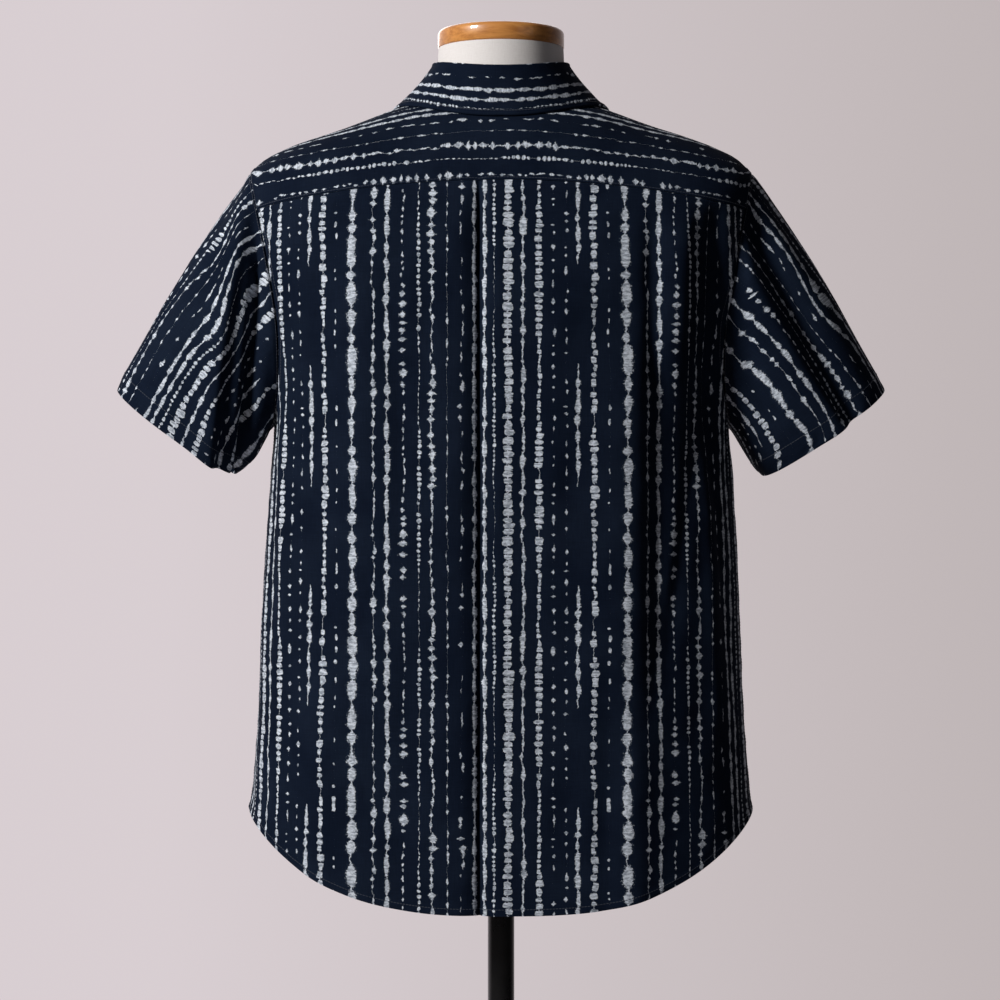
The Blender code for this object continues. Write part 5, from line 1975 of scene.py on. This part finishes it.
@dataclass(frozen=True)
class DressForm:
    """The covered torso with its neck, its wooden cap, and the pole stand."""

    linen: bpy.types.Material
    wood: bpy.types.Material
    metal: bpy.types.Material
    neck: Ring = Ring(0.0612, 1.5812, 0.0622, 1.5812, -0.0655, 1.5812, 1.00)
    neck_foot: Ring = Ring(0.0632, 1.5370, 0.0630, 1.5220, -0.0685, 1.4650, 1.00)
    bottom: float = 0.860
    edge: float = 0.010
    cap_top: float = 1.5990
    pole_radius: float = 0.0130
    base_height: float = 0.0080

    def torso(self) -> bpy.types.Object:
        """Rings inside the shirt, eased in by a table of side and depth, below a tapered neck."""
        ease = np.array([
            (0.0, 1.0), (0.4, 2.0), (0.6, 4.0), (1.0, 7.0), (5.0, 9.0), (12.0, 11.0),
            (17.0, 12.0), (19.0, 13.0), (18.0, 15.0), (32.0, 19.0), (52.0, 23.0), (58.0, 25.0),
            (48.0, 21.0), (40.0, 17.0), (40.0, 17.0), (40.0, 17.0),
        ]) * MILLIMETRE
        angle = full_turn(120)
        last = BODY.row_at(np.zeros(1), level(self.bottom))[0]
        rows = np.linspace(0.0, last, 90)
        places = np.stack(np.broadcast_arrays(angle[None], rows[:, None]), axis=-1)
        inset = through(ease, rows)
        share = np.cos(angle)[None] ** 2
        depth = WALL + 0.0005 + inset[:, :1] * share + inset[:, 1:] * (1 - share)
        body = BODY.point(places) - BODY.normal(places) * depth[..., None]
        body[-1, :, 2] = self.bottom
        rings = [
            ring_point(angle, np.array(self.neck) * (1 - k) + np.array(self.neck_foot) * k)
            for k in np.linspace(0, 1, 12)
        ]
        turn = np.linspace(0.0, 1.0, 7)[1:] * math.pi / 2
        low = np.repeat(body[-1:], len(turn), axis=0)
        low[..., :2] *= (1 - 0.035 * (1 - np.cos(turn)))[:, None, None]
        low[..., 2] = self.bottom - self.edge * np.sin(turn)[:, None]
        return loft("form_linen", np.concatenate([np.array(rings), body, low]))

    def cap(self) -> bpy.types.Object:
        """The neck's outline with a rounded top edge."""
        angle = full_turn(144)
        low, round_by = self.neck.side_z + PART_GAP, 0.0045
        turn = np.linspace(0.0, math.pi / 2, 9)
        steps = [(0.985, low), (1.0, low + 0.0010), (1.0, self.cap_top - round_by)]
        steps += [
            (1 - 0.075 * (1 - math.cos(k)), self.cap_top - round_by * (1 - math.sin(k)))
            for k in turn[1:]
        ]
        outline = ring_point(angle, self.neck) * (1 + 0.0006 / self.neck.side_x)
        rings = np.repeat(outline[None], len(steps), axis=0)
        rings[..., :2] *= np.array([scale for scale, _ in steps])[:, None, None]
        rings[..., 2] = np.array([height for _, height in steps])[:, None]
        return loft("neck_cap_wood", rings)

    def pole(self, foot: float, top: float) -> bpy.types.Object:
        """The pole, with a bevel at its foot."""
        outline = ((0.0120, foot), (self.pole_radius, foot + 0.001), (self.pole_radius, top))
        return loft("pole_metal", spun(outline, 96))

    def socket(self, bore: float, top: float) -> bpy.types.Object:
        """The plate under the torso that holds the pole."""
        low, out = top - 0.0070, 0.038
        corners = ((bore, low, 0.0), (out, low, 0.002), (out, top, 0.0008), (bore, top, 0.0))
        return turned("form_socket_metal", rounded(corners))

    def base(self) -> bpy.types.Object:
        """The round base, with a rounded top edge."""
        outline = [(0.1690, 0.0), (0.1700, 0.0010)]
        outline += [
            (0.1675 + 0.0025 * math.cos(k), 0.0055 + 0.0025 * math.sin(k))
            for k in np.linspace(0, math.pi / 2, 7)
        ]
        return loft("base_metal", spun(outline, 160))

    def hub(self, bore: float, foot: float) -> bpy.types.Object:
        """The stepped hub that holds the pole on its base."""
        flange, neck, top = 0.030, 0.0185, self.base_height + 0.045
        return turned("base_hub_metal", rounded((
            (bore, foot, 0.0), (flange, foot, 0.0004), (flange, foot + 0.0065, 0.003),
            (neck, foot + 0.0135, 0.003), (neck, top, 0.0016), (bore, top, 0.0),
        )))

    def build(self, room: Workroom) -> None:
        """Every part of the form and its stand."""
        room.place(self.torso(), self.linen, "linen", ["form_body"])
        room.place(self.cap(), self.wood, "wood", ["neck_cap"])
        top = self.bottom - self.edge - PART_GAP
        foot = self.base_height + PART_GAP
        bore = self.pole_radius + PART_GAP
        room.place(self.pole(foot, top), self.metal, "black_metal", ["pole"])
        room.place(self.socket(bore, top), self.metal, "black_metal", ["form_socket"])
        room.place(self.base(), self.metal, "black_metal", ["base_plate"])
        room.place(self.hub(bore, foot), self.metal, "black_metal", ["base_hub"])


# Studio

# The backdrop's stops, from the camera's right to its left
BACKDROP = (
    (0.0, (0.140, 0.125, 0.130, 1.0)),
    (0.42, (0.530, 0.475, 0.480, 1.0)),
    (0.56, (0.690, 0.620, 0.645, 1.0)),
    (1.0, (0.690, 0.620, 0.645, 1.0)),
)


class Lamp(NamedTuple):
    """A square area light."""

    name: str
    place: tuple[float, float, float]
    size: float
    power: float
    colour: tuple[float, float, float]

    def build(self, aim: Vector) -> None:
        """Makes the light, aimed at a point."""
        data = bpy.data.lights.new(self.name, "AREA")
        data.size, data.energy, data.color = self.size, self.power, self.colour
        light = bpy.data.objects.new(self.name, data)
        light.location = self.place
        light.rotation_euler = (Vector(self.place) - aim).to_track_quat("Z", "Y").to_euler()
        bpy.context.scene.collection.objects.link(light)


LAMPS = (
    Lamp("key_light", (2.36, 1.96, 2.40), 0.7, 99.0, (1.0, 0.985, 0.965)),
    Lamp("fill_light", (-2.10, 2.10, 1.50), 1.6, 2.0, (0.95, 0.97, 1.0)),
    Lamp("front_light", (0.60, -2.60, 2.20), 1.8, 18.0, (1.0, 1.0, 1.0)),
)


@dataclass(frozen=True)
class Studio:
    """A plain pale studio: floor, soft lights and the camera at the photograph's angle."""

    floor_radius: float = 1.15
    eye: tuple[float, float, float] = (0.001, 2.720, 1.140)
    lens: float = 100.0
    sensor: float = 36.0
    aim_height: float = 1.15
    behind: float = 0.07

    def build(self) -> None:
        """Floor, world, lights and camera."""
        edge = self.floor_radius
        outline = ((edge, -0.020), (edge, -0.004), (edge - 0.006, 0.0))
        floor = loft("studio_floor", spun(outline, 96))
        floor.data.materials.append(PaleFloor().build())
        self.world()
        for lamp in LAMPS:
            lamp.build(Vector((0.0, 0.0, self.aim_height)))
        data = bpy.data.cameras.new("studio_camera")
        data.lens, data.sensor_width = self.lens, self.sensor
        camera = bpy.data.objects.new("studio_camera", data)
        camera.location = self.eye
        camera.rotation_euler = (math.pi / 2, 0.0, math.pi)
        bpy.context.scene.collection.objects.link(camera)
        bpy.context.scene.camera = camera

    def world(self) -> None:
        """A pale pinkish backdrop, darker to the camera's right, that dims behind the camera."""
        world = bpy.data.worlds.new("studio_world")
        world.use_nodes = True
        tree = world.node_tree
        place = tree.nodes.new("ShaderNodeTexCoord")
        split = tree.nodes.new("ShaderNodeSeparateXYZ")
        ramp = tree.nodes.new("ShaderNodeValToRGB")
        share = tree.nodes.new("ShaderNodeMapRange")
        depth = tree.nodes.new("ShaderNodeMapRange")
        tree.links.new(place.outputs["Generated"], split.inputs[0])
        for axis, node, low, high in (("X", share, -1.0, 1.0), ("Y", depth, 0.0, -0.8)):
            tree.links.new(split.outputs[axis], node.inputs["Value"])
            node.inputs["From Min"].default_value = low
            node.inputs["From Max"].default_value = high
        depth.inputs["To Min"].default_value = self.behind
        tree.links.new(share.outputs[0], ramp.inputs[0])
        fill_ramp(ramp.color_ramp, BACKDROP)
        tree.links.new(ramp.outputs["Color"], tree.nodes["Background"].inputs["Color"])
        tree.links.new(depth.outputs[0], tree.nodes["Background"].inputs["Strength"])
        bpy.context.scene.world = world
        bpy.context.scene.view_settings.view_transform = "Standard"


def main() -> None:
    """Builds the form, the shirt and the studio, in order."""
    logging.basicConfig(level=logging.INFO, format="%(name)s %(message)s")
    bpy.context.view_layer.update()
    seams = Seams()
    room = Workroom(StripedCloth().build(), Thread().build())
    DressForm(Linen().build(), VarnishedWood().build(), PaintedMetal().build()).build(room)
    Yoke(seams).build(room)
    BackPanel(seams).build(room)
    Fronts(seams).build(room)
    left = SleeveChart(shift=(0.0086, 0.0), way=1.0, slant=0.148)
    right = SleeveChart(shift=(0.1875, 0.05), way=-1.0, slant=-0.174)
    Sleeve("sleeve_left", 1, LEFT_FOLDS, LEFT_PULLS, 61, seams, left).build(room)
    Sleeve("sleeve_right", -1, RIGHT_FOLDS, RIGHT_PULLS, 67, seams, right).build(room)
    collar = Collar()
    collar.build(room)
    Buttons(collar, ButtonPlastic().build()).build(room)
    Studio().build()


if __name__ == "__main__":
    main()
